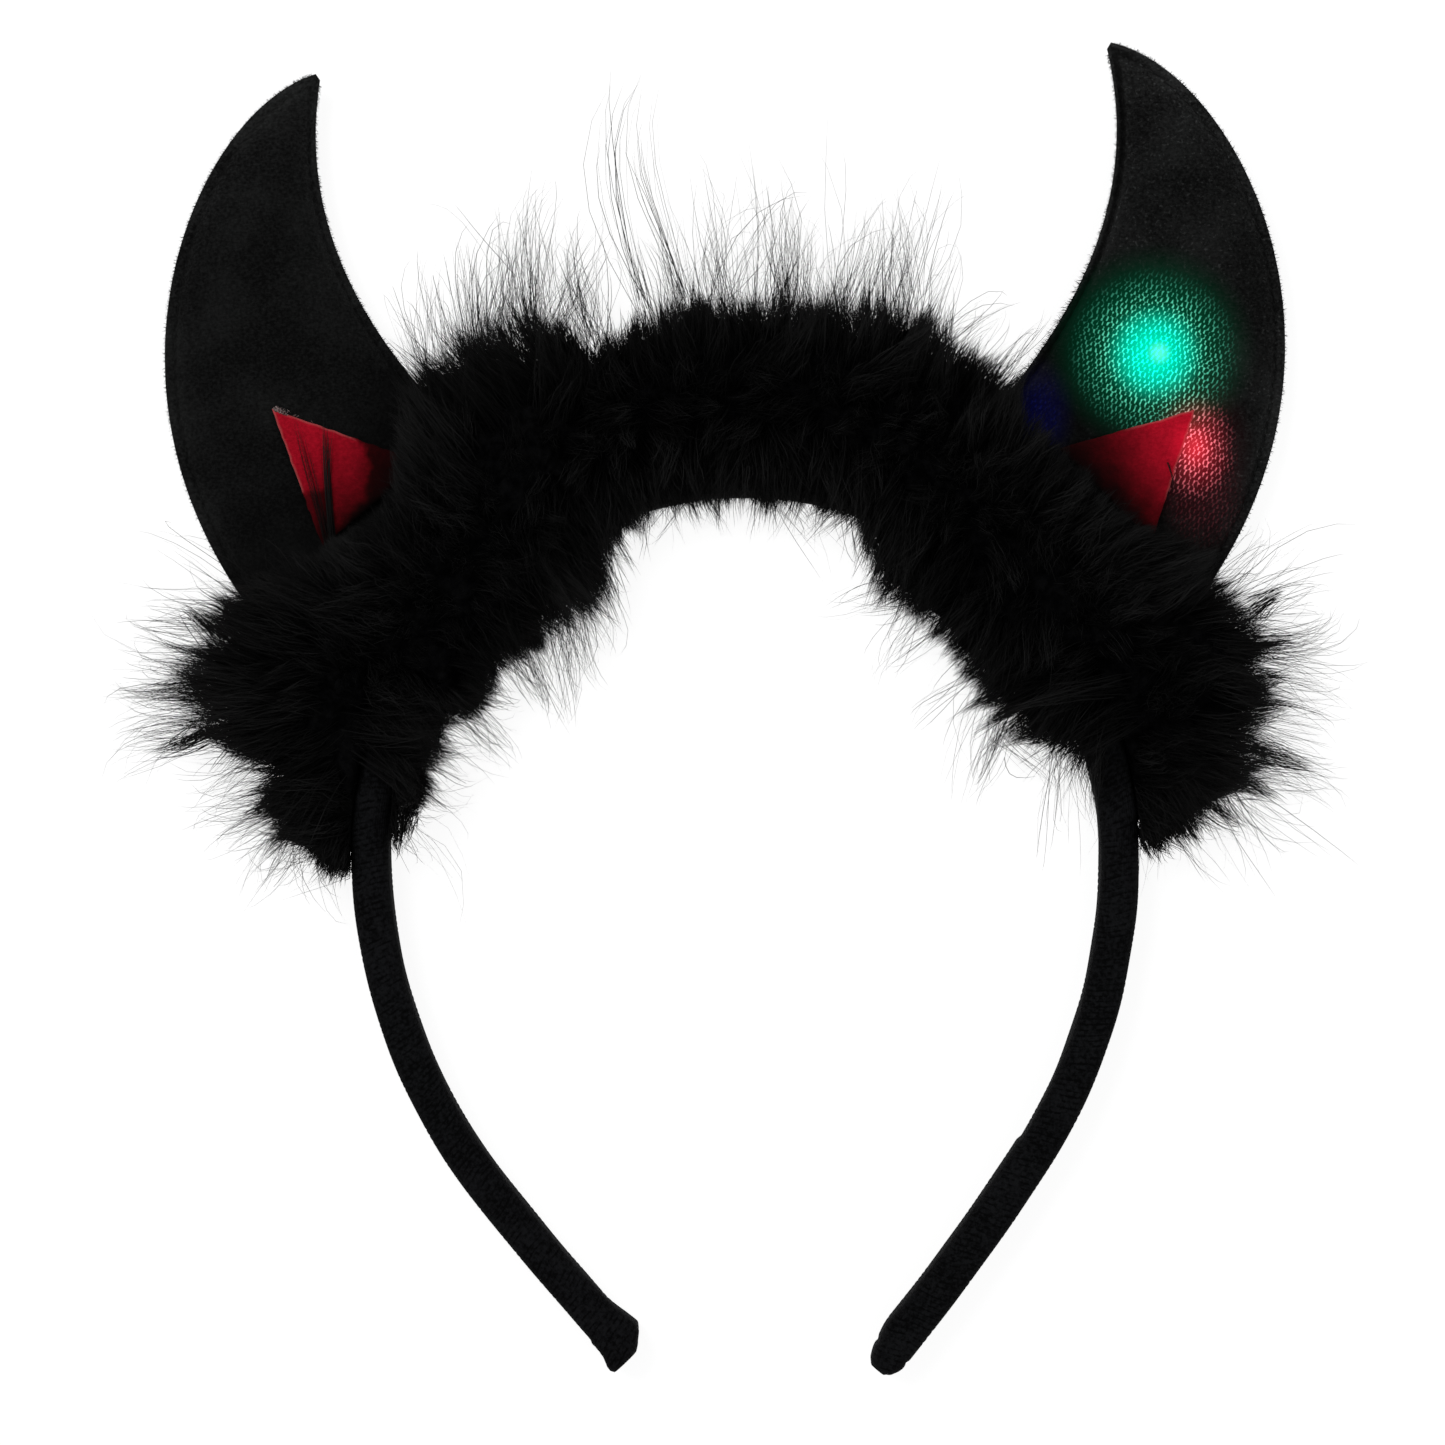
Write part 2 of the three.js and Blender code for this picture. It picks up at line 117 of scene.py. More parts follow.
# Boa backing, as in the part's source: turn from the top, inner and outer reach, height
BOA_ROWS = np.array((
    (0, 66.5, 91, 14), (16, 66.5, 93, 15), (26, 58, 96, 17), (33, 54, 92, 20), (50, 53, 88, 20),
    (60, 53, 93, 18), (67, 54, 97, 16), (75, 56, 95, 14), (81, 59, 86, 11), (88, 64, 75, 8),
    (93, 64, 72, 6),
), float)
# Down: turn from the top, inner and outer edge of the dense fluff, outer reach of the longest hairs
FLUFF_ROWS = np.array((
    (-94, 62, 69, 75), (-90, 62, 70, 82), (-88, 62, 72, 85), (-86, 61.5, 79.3, 88), (-84, 61, 83.3, 95),
    (-81, 58.5, 84.3, 95), (-79, 57, 83.3, 103), (-77, 57.5, 88.3, 107), (-75, 57.5, 97.3, 109),
    (-72, 56, 105.3, 110), (-69, 56.5, 103.3, 110), (-66, 57.5, 102.3, 110), (-64, 56.5, 102.3, 111),
    (-62, 53.5, 100.3, 110), (-60, 51.5, 100.3, 110), (-56, 52, 95, 104), (-51, 53, 89, 97),
    (-46, 51, 87, 94), (-42, 50, 87, 94), (-37, 50, 95, 101), (-33, 49.5, 102, 106), (-30, 50, 102.5, 110),
    (-26, 52, 102.8, 112), (-22, 57.5, 102.8, 113), (-19, 59.4, 100.8, 114), (-16, 60.4, 97.8, 113),
    (-14, 61.9, 90, 106), (-12, 62.4, 93, 106), (-10, 62.4, 93, 107), (-8, 61.9, 96, 112),
    (-4, 61.9, 95, 114), (0, 62.4, 98, 114), (2, 62.4, 95.5, 112), (6, 61.9, 98, 114), (9, 61.9, 94.5, 112),
    (12, 62.4, 97, 114), (16, 61.9, 100, 112), (18, 61.9, 97.5, 112), (20, 61.4, 100, 112),
    (24, 57.2, 96.5, 108), (28, 53.2, 96, 104), (30, 49.2, 95, 101), (34, 51.2, 92, 98), (38, 50.7, 90, 96),
    (42, 49.2, 88, 95), (46, 50.2, 88, 95), (50, 48.7, 88, 95), (54, 48.2, 90, 97), (58, 50.2, 95, 103),
    (60, 46.7, 96, 104), (62, 49.7, 95, 105), (66, 49.7, 97, 106), (69, 49.7, 98.5, 106), (72, 54, 94, 106),
    (74, 57, 93.5, 105), (76, 60, 95, 105), (80, 60, 91, 104), (82, 60, 94, 104), (84, 61, 90, 102),
    (86, 61, 80, 100), (89, 61, 74, 94), (92, 61.5, 69, 86),
), float)
# Turns at which the down ends on the inner and outer side of each leg
INNER_ENDS = (-83, 73)
OUTER_ENDS = (-88, 88)
# Turns between which the boa lies over the left and right horn, and its height there
HORN_COVER_FROM = (33, 30.5)
HORN_COVER_TO = 62
COVER_BLEND = 1.5
COVER_LEVEL = 12.2
# Turns at which the band starts to show in front of the boa, and shows in full
BARE_BAND_FROM = (-72, 77)
BARE_BAND_FULL = (-80, 84)
# Core: size of its mesh, how far and how often it is softened, and how far it stays inside the fluff's edge
CORE_VOXEL = 1.2
CORE_SOFTEN = 0.7
CORE_ROUNDS = 90
CORE_INSET = 5.4
CLUMPS = 1620
# Degrees that clumps are lifted, from straight out past upright to straight in, by a number drawn for each
INWARD_BELOW, INWARD_LIFT = 0.14, (150, 186)
OUTWARD_ABOVE, OUTWARD_LIFT = 0.68, (-3, 32)
OTHER_LIFT = (20, 187)
CLUMP_STRANDS = 52
CLUMP_SPREAD = 3.6
SHORT_SPREAD = 1.6
STRAND_STEPS = 5
FLUFF_PIECES = 5
FRINGE_CLUMPS = 80
FRINGE_TO = 27
NOOK_CLUMPS = 18
NOOK_TURNS = (-34.5, -30)
# How far clumps stand out past the edge of the dense fluff: on average, and at most
STAND_OUT = 6
STAND_MOST = 15
WISP_TUFTS = 130
TUFT_HAIRS = 12
# Tufts that stand out past the dense fluff: plan x and y at root, middle and tip, and how many hairs
TUFTS = np.array((
    (-55, 91, -56, 96, -58, 101, 10), (-51, 91, -51.5, 98, -52, 107, 16),
    (-48, 93, -49, 99, -49.5, 105, 14), (-43.5, 95, -44, 101, -44, 109, 26),
    (-39.5, 96, -38, 103, -36, 111, 34), (-37, 97, -37.5, 104, -38, 114, 12),
    (-33, 97, -34, 109, -29, 119.5, 26), (-32.5, 97, -32, 103, -31, 112, 30),
    (-28.5, 96, -25, 103, -20.5, 112, 22), (-24.5, 96, -26.5, 103, -27, 112, 26),
    (-22, 96, -21.5, 101, -21, 107, 14), (-40, 107, -44.5, 115, -54, 120.5, 2),
    (-12.5, 96, -13.5, 101, -14.5, 108, 26), (-7, 97, -8.5, 103, -11, 112, 26),
    (-1, 98, -2, 106, -3, 117, 34), (0, 99, 1.5, 111, -4, 121.5, 8), (1, 100, 7, 110, 14.5, 118.5, 7),
    (6.5, 97, 8, 106, 6, 125, 26), (11.5, 97, 12, 104, 14, 115, 44), (11, 99, 9.5, 108, 6.5, 117.5, 12),
    (15.5, 96, 15, 102, 17, 112, 14), (19, 96, 19.5, 102, 20, 108, 20), (20.5, 96, 22.5, 108, 22.5, 128, 9),
    (22, 96, 25, 104, 27, 113, 26), (27, 97, 29, 104, 33, 111, 26), (31.5, 97, 31.5, 104, 29.5, 116, 28),
    (32.5, 97, 35, 107, 39, 117, 14), (36.5, 94, 38.5, 99, 41.5, 105, 14), (41, 89, 45, 92, 51, 95, 10),
    (45, 87, 47, 89, 50, 92, 10), (51, 84.5, 54, 87.5, 57.5, 92, 12), (-89, 50, -96, 56, -103, 61, 4),
    (-88.5, 52, -94, 57, -101, 60.5, 3), (-91, 46.5, -103, 46, -113.5, 52, 4),
    (-92, 47, -99, 48, -104, 50.5, 8), (-93, 43, -99, 43.5, -104, 45, 22),
    (-96, 39.5, -101, 41, -105, 43, 16), (-97, 36, -103, 37, -109, 38.5, 20),
    (-99, 32.5, -104, 32, -110, 33, 34), (-99, 29.5, -105, 29.5, -113, 28, 12),
    (-97, 26, -103, 25.5, -109, 24, 34), (-95, 24, -103, 22, -112, 18.5, 18),
    (-90, 22, -96, 22, -101, 21.5, 16), (-86, 18, -91, 16, -95.5, 13.5, 24),
    (-83, 12, -90, 10.5, -98.5, 9.5, 30), (-82, 9.5, -87, 7, -92, 4.5, 24), (-80, 6, -84, 2, -88, -6.5, 18),
    (-78.5, 5, -81, 1, -84, -3, 22), (-75.5, 3, -75.5, -2, -70.5, -8, 14), (86, 44, 95, 49, 107, 51.7, 4),
    (87.5, 45, 91, 48.5, 93, 52.5, 12), (89, 41, 97, 44, 106.5, 49, 8), (91, 40, 97, 42, 104, 41.5, 14),
    (92, 38, 98, 38, 105, 39, 10), (91, 33, 99, 33, 105.5, 38, 34), (92, 33, 99, 32, 106, 32, 18),
    (91, 30, 98, 28, 106, 27.5, 18), (91, 27, 98, 24.5, 106, 21.5, 20), (91, 23, 97, 21.5, 106, 19, 30),
    (91.5, 19, 98, 17, 104.5, 14, 18), (89, 15, 96, 11.5, 104.5, 8.5, 44), (89, 9.5, 96, 7.5, 105, 4, 20),
    (87, 7, 94, 1.5, 104, -8, 8), (86, 6, 90, 1, 95, -3, 14), (82.5, 5, 86.5, -1, 88.5, -10.5, 14),
    (78, 5, 82, 2, 86, 0.5, 22), (74.5, 4, 78, -2, 83, -10.5, 18), (71.5, 2, 70.8, -4, 70, -9.5, 8),
    (-51.5, 24, -49.5, 23, -46.5, 22, 16), (45, 17, 42.5, 12, 40, 5, 8), (50, 15, 52, 13, 55, 10, 10),
    (56, 13.5, 55.5, 6, 51.5, -4, 8), (58.5, 12, 59.5, 5, 60, -4, 14), (42.5, 16, 41, 12.5, 40, 10, 14),
    (-22.1, 49.7, -21, 46.6, -20.2, 42.3, 10), (-26, 43.8, -23.5, 39.5, -22.1, 34.6, 24),
    (-27.9, 41.4, -27.2, 36, -26.5, 29.9, 32), (-32.2, 39.8, -30.9, 33.7, -29.2, 24, 36),
    (-36.5, 36.4, -34.3, 30.2, -33.3, 26, 36), (-39.6, 34.1, -37.1, 31.3, -34.8, 28.5, 28),
    (-44.6, 30, -42, 28.4, -39.3, 27.8, 34), (-44.9, 23.4, -42.3, 20.7, -39.7, 17.2, 26),
    (-52.3, 17.7, -50.2, 16.4, -47.8, 15.7, 20), (-56.1, 14.2, -52, 11, -47.9, 7.6, 12),
    (-60, 5.9, -58.7, 3.7, -57.6, 1.3, 14), (21.6, 55.8, 21.9, 52.1, 21.3, 47.9, 12),
    (25, 44.8, 21.1, 43.1, 15, 42.2, 8), (27.7, 42.3, 24, 41, 16.8, 42.9, 5),
    (33.5, 36.6, 27.3, 32, 22.5, 25.6, 10), (37.6, 27.4, 33.6, 25.1, 29.3, 21.9, 10),
    (30.6, 40.3, 27.4, 36, 26, 31.5, 10), (-11.4, 61.3, -13.5, 59, -15.6, 55.8, 14),
    (-10.8, 61.3, -9.4, 58.8, -8.6, 55.5, 8), (10.9, 59.8, 14.3, 55.4, 19.1, 48, 7),
    (9.1, 60.5, 11.4, 58, 12.8, 54.7, 8), (42.1, 25.4, 39.4, 17.7, 38.1, 9.3, 5),
    (43.9, 24.7, 42, 16.4, 38.9, 6.8, 4),
), float)
# Each counted hair is drawn as this many finer ones
HAIRS_EACH = 2
TUFT_ROOT = 7
# The tall loose plume near the top: plan points of its two sides, and the heights along them
PLUMES = (
    ((-13.5, 95), (-20.5, 114), (-21.5, 127), (-12.6, 137.2)),
    ((-6.5, 97), (-9.5, 111), (-17.5, 121), (-11.8, 135)),
)
PLUME_LEVELS = (6.0, 8.0, 9.0, 8.0)
PLUME_HAIRS = 18
# Hairs of the boa that lie over the patches: plan points
STRAYS = (
    ((-70.3, 55), (-71.6, 63), (-73.8, 70), (-75.6, 79.6)),
    ((-70.2, 55), (-71.2, 63), (-72.6, 69), (-74.4, 78.5)),
    ((-69.6, 55), (-70, 64), (-70, 70), (-70.4, 78.6)),
    ((-69.5, 55), (-69.8, 64), (-69.9, 70), (-70.2, 78.2)),
    ((-69, 55), (-69.6, 64), (-69.8, 69), (-68.7, 77)),
    ((76.2, 65), (76.6, 63.6), (77.2, 62), (77.1, 60.3)),
)
STRAY_LEVEL = 12.0
STRAY_HAIRS = (9, 7, 9, 7, 7, 3)
# Dense pointed tufts at the boa's ends: plan points at root and tip
SPIKES = (
    ((-79, 14.6), (-88.5, 9.8)), ((-76.7, 7.4), (-84.2, 2.4)), ((-92, 25.5), (-103, 21.5)),
    ((-90, 41), (-97, 47)), ((88, 14.5), (100.5, 10.8)), ((86, 9), (95, 4.5)), ((88, 31.5), (98, 33)),
    ((89, 21.5), (97.5, 22)), ((82, 6), (88, 1)), ((76.5, 5), (79.5, -1.5)), ((90, 38), (95.5, 41.5)),
    ((87, 26), (97, 27.5)),
)
# More of them side by side at the left end: turns, how many, and the radius of their roots
SPIKE_TURNS = (-75, -60)
SPIKE_ROW = 24
SPIKE_ROOT = 87
SPIKE_HAIRS = 56
WISP_STEPS = 6
# Where hairs start to draw in at the sides, and how far they can still reach
SIDE_FROM = 108
SIDE_ROOM = 6
# Range of widths of each kind of strand, and shares of it from root to tip
NAP_WIDTHS, NAP_TAPER = (0.05, 0.1), (1, 0.8, 0.2)
FRAY_WIDTHS, FRAY_TAPER = (0.08, 0.14), (1, 1, 0.9, 0.5)
DOWN_WIDTHS, DOWN_TAPER = (0.1, 0.19), (0.9, 1, 0.9, 0.6, 0.2)
WISP_WIDTHS, WISP_TAPER = (0.04, 0.09), (1, 1, 0.92, 0.78, 0.55, 0.2)

# Dark and light colour of each material
HORN_COLOURS = ((0.0012, 0.0012, 0.0012), (0.0105, 0.0109, 0.0108))
NAP_COLOURS = ((0.0016, 0.0016, 0.0018), (0.011, 0.011, 0.012))
PATCH_COLOURS = ((0.32, 0.002, 0.011), (0.54, 0.006, 0.023))
PATCH_EDGE = (0.5, 0.17, 0.16)
FRAY_COLOURS = ((0.05, 0.02, 0.02), (0.34, 0.28, 0.27))
BAND_COLOURS = ((0.0006, 0.0006, 0.0007), (0.0048, 0.0050, 0.0056))
CORE_COLOURS = ((0.0008, 0.0008, 0.0009), (0.003, 0.003, 0.0032))
DOWN_COLOURS = ((0.0010, 0.0010, 0.0010), (0.0115, 0.0115, 0.0115))
WISP_COLOURS = ((0.002, 0.002, 0.002), (0.012, 0.0115, 0.011))
FLOOR_COLOURS = ((0.16, 0.16, 0.16), (0.17, 0.17, 0.17))

# Lamps: the middle of each one's light in the part's frame, and its colour
LAMPS = {
    "led_green": ((75.5, 60.6), (0.0, 0.9, 0.5)),
    "led_red": ((81.4, 44.4), (0.9, 0.02, 0.03)),
    "led_blue": ((54.8, 51.4), (0.02, 0.04, 0.9)),
}
LAMP_POWER = 2.0
PATCH_GLOW = (1.0, 0.008, 0.04)
# Spots of light on the felt: lamp, offset from its middle, and stretch of each axis
GLOW_SPOTS = {
    "middle": ("led_green", (0, 0), (1.0, 1.0)),
    "spread": ("led_green", (-0.9, -0.2), (1.0, 1.0)),
    "haze": ("led_green", (-1.2, 0.8), (1.0, 1.0)),
    "red": ("led_red", (-0.3, -0.4), (1.12, 0.86)),
    "below": ("led_red", (1, -9), (1.1, 0.9)),
    "blue": ("led_blue", (0, 0), (1.3, 0.8)),
}
# Layers of light: spot, where it starts to fade and ends, strength, if only the knit's holes show it, colour
GLOW_LAYERS = (
    ("spread", 1.5, 9.4, 0.72, False, (0.0, 1.0, 0.62)),
    ("haze", 3.0, 19.2, 0.06, False, (0.0, 1.0, 0.42)),
    ("middle", 0.2, 2.4, 0.22, False, (0.4, 1.0, 1.0)),
    ("spread", 2.5, 15.5, 1.28, True, "pale"),
    ("red", 0.0, 4.2, 0.42, False, (1.0, 0.035, 0.06)),
    ("red", 0.0, 8.0, 0.23, False, (1.0, 0.03, 0.055)),
    ("red", 4.0, 13.0, 0.01, False, (1.0, 0.0, 0.08)),
    ("red", 0.5, 9.0, 1.36, True, (1.0, 0.21, 0.26)),
    ("below", 2.0, 9.0, 0.05, True, (1.0, 0.16, 0.22)),
    ("below", 2.0, 10.0, 0.006, False, (1.0, 0.0, 0.1)),
    ("blue", 0.5, 8.5, 0.016, False, (0.0, 0.0, 1.0)),
    ("blue", 0.5, 6.0, 0.03, True, (0.02, 0.06, 1.0)),
)
# Colour in the holes near the green lamp's middle and away from it
PALE_COLOURS = ((0.01, 1.0, 0.82), (0.17, 1.0, 0.66))
# Where the lit felt is darkest, from the green lamp's middle
DARK_SPOT = (-3, 1.4)
# Knit of the lit felt, in turns for each metre: columns along X, and courses that lean as X grows
KNIT_COLUMN = 1240.0
KNIT_LEAN = 840.0
KNIT_COURSE = -1029.0

# Stage, in metres and watts: name, place, size and power of each light
LIGHTS = (("key", (-0.55, 0.5, 1.1), 0.7, 9.0), ("fill", (0.7, -0.2, 1.2), 0.9, 4.0))
WORLD_STRENGTH = 0.55
FLOOR_HALF = 3.0
FLOOR_LEVEL = -0.0004
FLOOR_GLOW = 0.88
SENSOR = 36
LENS = 128.1
CAMERA_AT = (-0.0030, -0.00068, 0.905)
CAMERA_TURN = -2.2738


# Meshes


def placed(points):
    """Metres in the part's frame from crown-centred millimetres."""
    return (np.asarray(points, float) + (0, CROWN_MIDDLE_Y, 0)) * MM


def set_points(mesh, points):
    mesh.vertices.foreach_set("co", placed(points).astype(np.float32).ravel())


def added(name, data):
    """A new object in the scene."""
    thing = bpy.data.objects.new(name, data)
    bpy.context.scene.collection.objects.link(thing)
    return thing


def dress(piece, slot, replaced):
    """Sets a piece on the part's body, and in place of a solid where it replaces one. The slot is not used.
    """
    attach(piece, BODY)
    if replaced:
        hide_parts(replaced)


def add_piece(name, points, faces, maps, material, slot, replaced=None):
    """A smooth mesh piece that rides on the part, from millimetre points, arrays of faces and UV maps."""
    mesh = bpy.data.meshes.new(name)
    corners = np.concatenate([rows.ravel() for rows in faces]).astype(np.int32)
    sizes = np.concatenate([np.full(len(rows), rows.shape[1]) for rows in faces])
    starts = np.concatenate([[0], np.cumsum(sizes)[:-1]]).astype(np.int32)
    mesh.vertices.add(len(points))
    set_points(mesh, points)
    mesh.loops.add(len(corners))
    mesh.loops.foreach_set("vertex_index", corners)
    mesh.polygons.add(len(sizes))
    mesh.polygons.foreach_set("loop_start", starts)
    mesh.polygons.foreach_set("use_smooth", np.ones(len(sizes), bool))
    for map_name, spots in maps.items():
        layer = mesh.uv_layers.new(name=map_name)
        layer.uv.foreach_set("vector", spots[corners].astype(np.float32).ravel())
    mesh.update(calc_edges=True)
    mesh.validate()
    mesh.materials.append(material)
    piece = added(name, mesh)
    dress(piece, slot, replaced)
    return piece


def fan_faces(first, count, hub, flip):
    """Triangles that close a ring of points about a hub."""
    ring = first + np.arange(count)
    following = first + (np.arange(count) + 1) % count
    pair = (following, ring) if flip else (ring, following)
    return np.stack([np.full(count, hub), *pair], -1)


def tube(rings):
    """Points and faces of a tube through closed rings, with each end closed about its middle."""
    rows, columns = rings.shape[:2]
    flat = rings.reshape(-1, 3)
    row = np.arange(rows - 1)[:, None] * columns
    spans = np.arange(columns)[None, :]
    following = (spans + 1) % columns
    quads = [row + spans, row + following, row + columns + following, row + columns + spans]
    faces = [
        np.stack(quads, -1).reshape(-1, 4),
        fan_faces(0, columns, len(flat), True),
        fan_faces((rows - 1) * columns, columns, len(flat) + 1, False),
    ]
    return np.concatenate([flat, [rings[0].mean(0), rings[-1].mean(0)]]), faces


def ripple(points, length, seed):
    """Smooth irregular values, mostly from -1 to 1, with humps about a length apart."""
    rng = np.random.default_rng(seed)
    points = np.asarray(points, float)
    turns = rng.normal(size=(RIPPLE_WAVES, points.shape[-1]))
    turns *= rng.uniform(0.6, 1.4, (RIPPLE_WAVES, 1)) / np.linalg.norm(turns, axis=1, keepdims=True)
    phases = rng.uniform(0, 2 * np.pi, RIPPLE_WAVES)
    total = np.sin(points @ turns.T * (2 * np.pi / length) + phases).sum(-1)
    return total / math.sqrt(RIPPLE_WAVES)


def smooth(value, low, high):
    """0 below low, 1 above high and a smooth rise between."""
    share = np.clip((np.asarray(value, float) - low) / (high - low), 0, 1)
    return share * share * (3 - 2 * share)


def norm(vectors):
    return np.linalg.norm(vectors, axis=-1)


def unit(vectors):
    return vectors / np.maximum(np.linalg.norm(vectors, axis=-1, keepdims=True), 1e-9)


# Materials


class Value:
    """A node's output, whose sums, differences and products are nodes too."""

    def __init__(self, nodes, socket):
        self.nodes = nodes
        self.socket = socket

    def __add__(self, other):
        return self.nodes.math("ADD", self, other)

    def __sub__(self, other):
        return self.nodes.math("SUBTRACT", self, other)

    def __rsub__(self, other):
        return self.nodes.math("SUBTRACT", other, self)

    def __mul__(self, other):
        return self.nodes.math("MULTIPLY", self, other)

    def ease(self, low, high, start=0.0, end=1.0):
        """A smooth change from start to end as the value goes from low to high."""
        inputs = {"Value": self, "From Min": low, "From Max": high, "To Min": start, "To Max": end}
        return self.nodes.add("ShaderNodeMapRange", inputs, interpolation_type="SMOOTHSTEP")

    def ease_mm(self, low, high, start=0.0, end=1.0):
        return self.ease(low * MM, high * MM, start, end)


class Nodes:
    """A material's node tree, with short ways to add to it."""

    def __init__(self, name, roughness, specular):
        self.material = bpy.data.materials.new(name)
        self.material.use_nodes = True
        self.tree = self.material.node_tree
        self.shader = next(node for node in self.tree.nodes if node.type == "BSDF_PRINCIPLED")
        self.set("Roughness", roughness)
        self.set("Specular IOR Level", specular)

    @cached_property
    def place(self):
        return self.add("ShaderNodeTexCoord", {}, "Object")

    @cached_property
    def axes(self):
        return self.parts(self.place)

    def set(self, socket, value):
        """Sets a socket of the shader, or links it where the value comes from a node."""
        self.feed(self.shader.inputs[socket], value)

    def light(self, colour, strength):
        self.set("Emission Color", colour)
        self.set("Emission Strength", strength)

    def feed(self, socket, value):
        if isinstance(value, Value):
            self.tree.links.new(value.socket, socket)
        elif isinstance(value, tuple) and socket.type == "RGBA":
            socket.default_value = (*value, 1)
        else:
            socket.default_value = value

    def add(self, kind, inputs, output=0, **settings):
        node = self.tree.nodes.new(kind)
        for key, value in settings.items():
            setattr(node, key, value)
        for key, value in inputs.items():
            self.feed(node.inputs[key], value)
        return Value(self, node.outputs[output])

    def parts(self, vector):
        node = self.tree.nodes.new("ShaderNodeSeparateXYZ")
        self.feed(node.inputs[0], vector)
        return [Value(self, output) for output in node.outputs]

    def spot(self, name):
        """Two values of a UV map."""
        return self.parts(self.add("ShaderNodeUVMap", {}, uv_map=name))[:2]

    def math(self, operation, *values):
        return self.add("ShaderNodeMath", dict(enumerate(values)), operation=operation)

    def vector(self, operation, inputs):
        return self.add("ShaderNodeVectorMath", inputs, operation=operation)

    def scaled(self, colour, strength):
        return self.vector("SCALE", {0: colour, "Scale": strength})

    def reach(self, spot, stretch=(1.0, 1.0)):
        """Distance from a spot in plan, with each axis stretched."""
        away = [(value - at * MM) * scale for value, at, scale in zip(self.axes, spot, stretch)]
        squares = [self.math("POWER", value, 2.0) for value in away]
        return self.math("SQRT", squares[0] + squares[1])

    def noise(self, size, detail=2.0, roughness=0.5, vector=None):
        """Noise with humps of a size in millimetres."""
        inputs = {"Vector": vector or self.place, "Scale": 1 / (size * MM)}
        return self.add("ShaderNodeTexNoise", {**inputs, "Detail": detail, "Roughness": roughness})

    def mix(self, share, first, second):
        """A colour between two, through the sockets that the node has for colours."""
        inputs = {0: share, 6: first, 7: second}
        return self.add("ShaderNodeMix", inputs, 2, data_type="RGBA")

    def bump(self, height, strength, depth):
        inputs = {"Height": height, "Strength": strength, "Distance": depth * MM}
        self.set("Normal", self.add("ShaderNodeBump", inputs))


def felt_nodes(name, colours, grain, blotch):
    """Pressed felt: fine fibres, longer hairs and broad patches of tone."""
    nodes = Nodes(name, roughness=0.95, specular=0.06)
    fibre = nodes.noise(grain, 4.0, 0.6)
    hairs = nodes.noise(0.34, vector=nodes.vector("MULTIPLY", {0: nodes.place, 1: (0.4, 1.0, 1.0)}))
    tone = fibre.ease(0.25, 0.8) + nodes.noise(12.0, 3.0).ease(0.3, 0.75, -blotch, blotch)
    tone = tone + hairs.ease(0.45, 0.8, 0.0, 0.5)
    nodes.bump(fibre + hairs * 0.6, strength=0.6, depth=0.22)
    return nodes, nodes.mix(tone * 0.75, *colours)


def glow(nodes):
    """Light of the three lamps as it comes through the knitted felt: its colour at each spot."""
    x, y, z = nodes.axes
    wander = nodes.noise(7.0, 1.0).ease(0.2, 0.8, -0.5, 0.5)
    jolt = nodes.noise(1.9, 1.0).ease(0.25, 0.75, -0.1, 0.1)
    column = x * KNIT_COLUMN + (wander + jolt)
    course = x * KNIT_LEAN + y * KNIT_COURSE - (wander - jolt)
    waves = [nodes.math("COSINE", phase * (2 * math.pi)) for phase in (column, course, column - course)]
    uneven = nodes.noise(0.6, 1.0).ease(0.3, 0.7, -0.6, 0.6)
    hole = (waves[0] + waves[1] - waves[2] * 0.55 + uneven).ease(0.45, 1.75)
    reach = {
        name: nodes.reach(np.add(LAMPS[lamp][0], offset), stretch)
        for name, (lamp, offset, stretch) in GLOW_SPOTS.items()
    }
    pale = nodes.mix(reach["spread"].ease_mm(3.5, 9.0), *PALE_COLOURS)
    total = (0.0, 0.0, 0.0)
    for spot, near, far, most, in_holes, colour in GLOW_LAYERS:
        strength = reach[spot].ease_mm(near, far, most, 0.0)
        strength = hole * strength if in_holes else strength
        layer = nodes.scaled(pale if colour == "pale" else colour, strength)
        total = nodes.vector("ADD", {0: total, 1: layer})
    return nodes.scaled(total, z.ease_mm(HORN_MIDDLE_Z, HORN_MIDDLE_Z + 1))


def from_boa(nodes, uneven):
    """Distance from the middle of the crown's arc, made uneven by so many millimetres."""
    wander = nodes.noise(4.0).ease(0.25, 0.75, -uneven * MM, uneven * MM)
    return nodes.reach((0.0, CROWN_MIDDLE_Y)) + wander


def horn_material(name, lit):
    """Black felt with painted light along the rim, painted shade in the seam's groove, darkest at each
    stitch, painted shade of the boa near the root, and lighter towards the tip.
    """
    strength = 1.1 if lit else 0.72
    nodes, colour = felt_nodes(name, HORN_COLOURS, grain=0.55, blotch=0.3)
    near, stitch = nodes.spot(EDGE_MAP)
    # Painted shade in the seam's groove, darkest at each stitch
    groove = near.ease(0.14, 0.19) * near.ease(0.19, 0.25, 1.0, 0.0) * stitch.ease(0.2, 0.9, 0.15, 0.6)
    away = from_boa(nodes, uneven=2.5)
    # Painted light along the rim, paler towards the edge, times the groove's painted shade
    shade = near.ease(0.12, 0.45, 1.6 * strength, strength) * (1.0 - groove)
    # Painted shade of the boa near the horn's root, and lighter towards the tip
    shade = shade * away.ease_mm(90, 116, 0.42, 1.0) * away.ease_mm(134, 154, 1.0, 1.4)
    if lit:
        shade = shade * nodes.noise(0.6).ease(0.58, 0.72, 0.85, 2.4)
        green = nodes.reach(np.add(LAMPS["led_green"][0], DARK_SPOT))
        # Painted shade in the seam along the inner edge
        seam = near.ease(0.04, 0.11) * near.ease(0.17, 0.27, 1.0, 0.0)
        seam = seam * nodes.axes[0].ease_mm(72, 76, 0.7, 0.0)
        shade = shade * green.ease_mm(9, 20, 0.1, 1.0) * (1.0 - seam)
        nodes.set("Specular IOR Level", green.ease_mm(9, 20, 0.0, 0.06))
        nodes.light(glow(nodes), 1.0)
    nodes.set("Base Color", nodes.scaled(colour, shade))
    return nodes.material


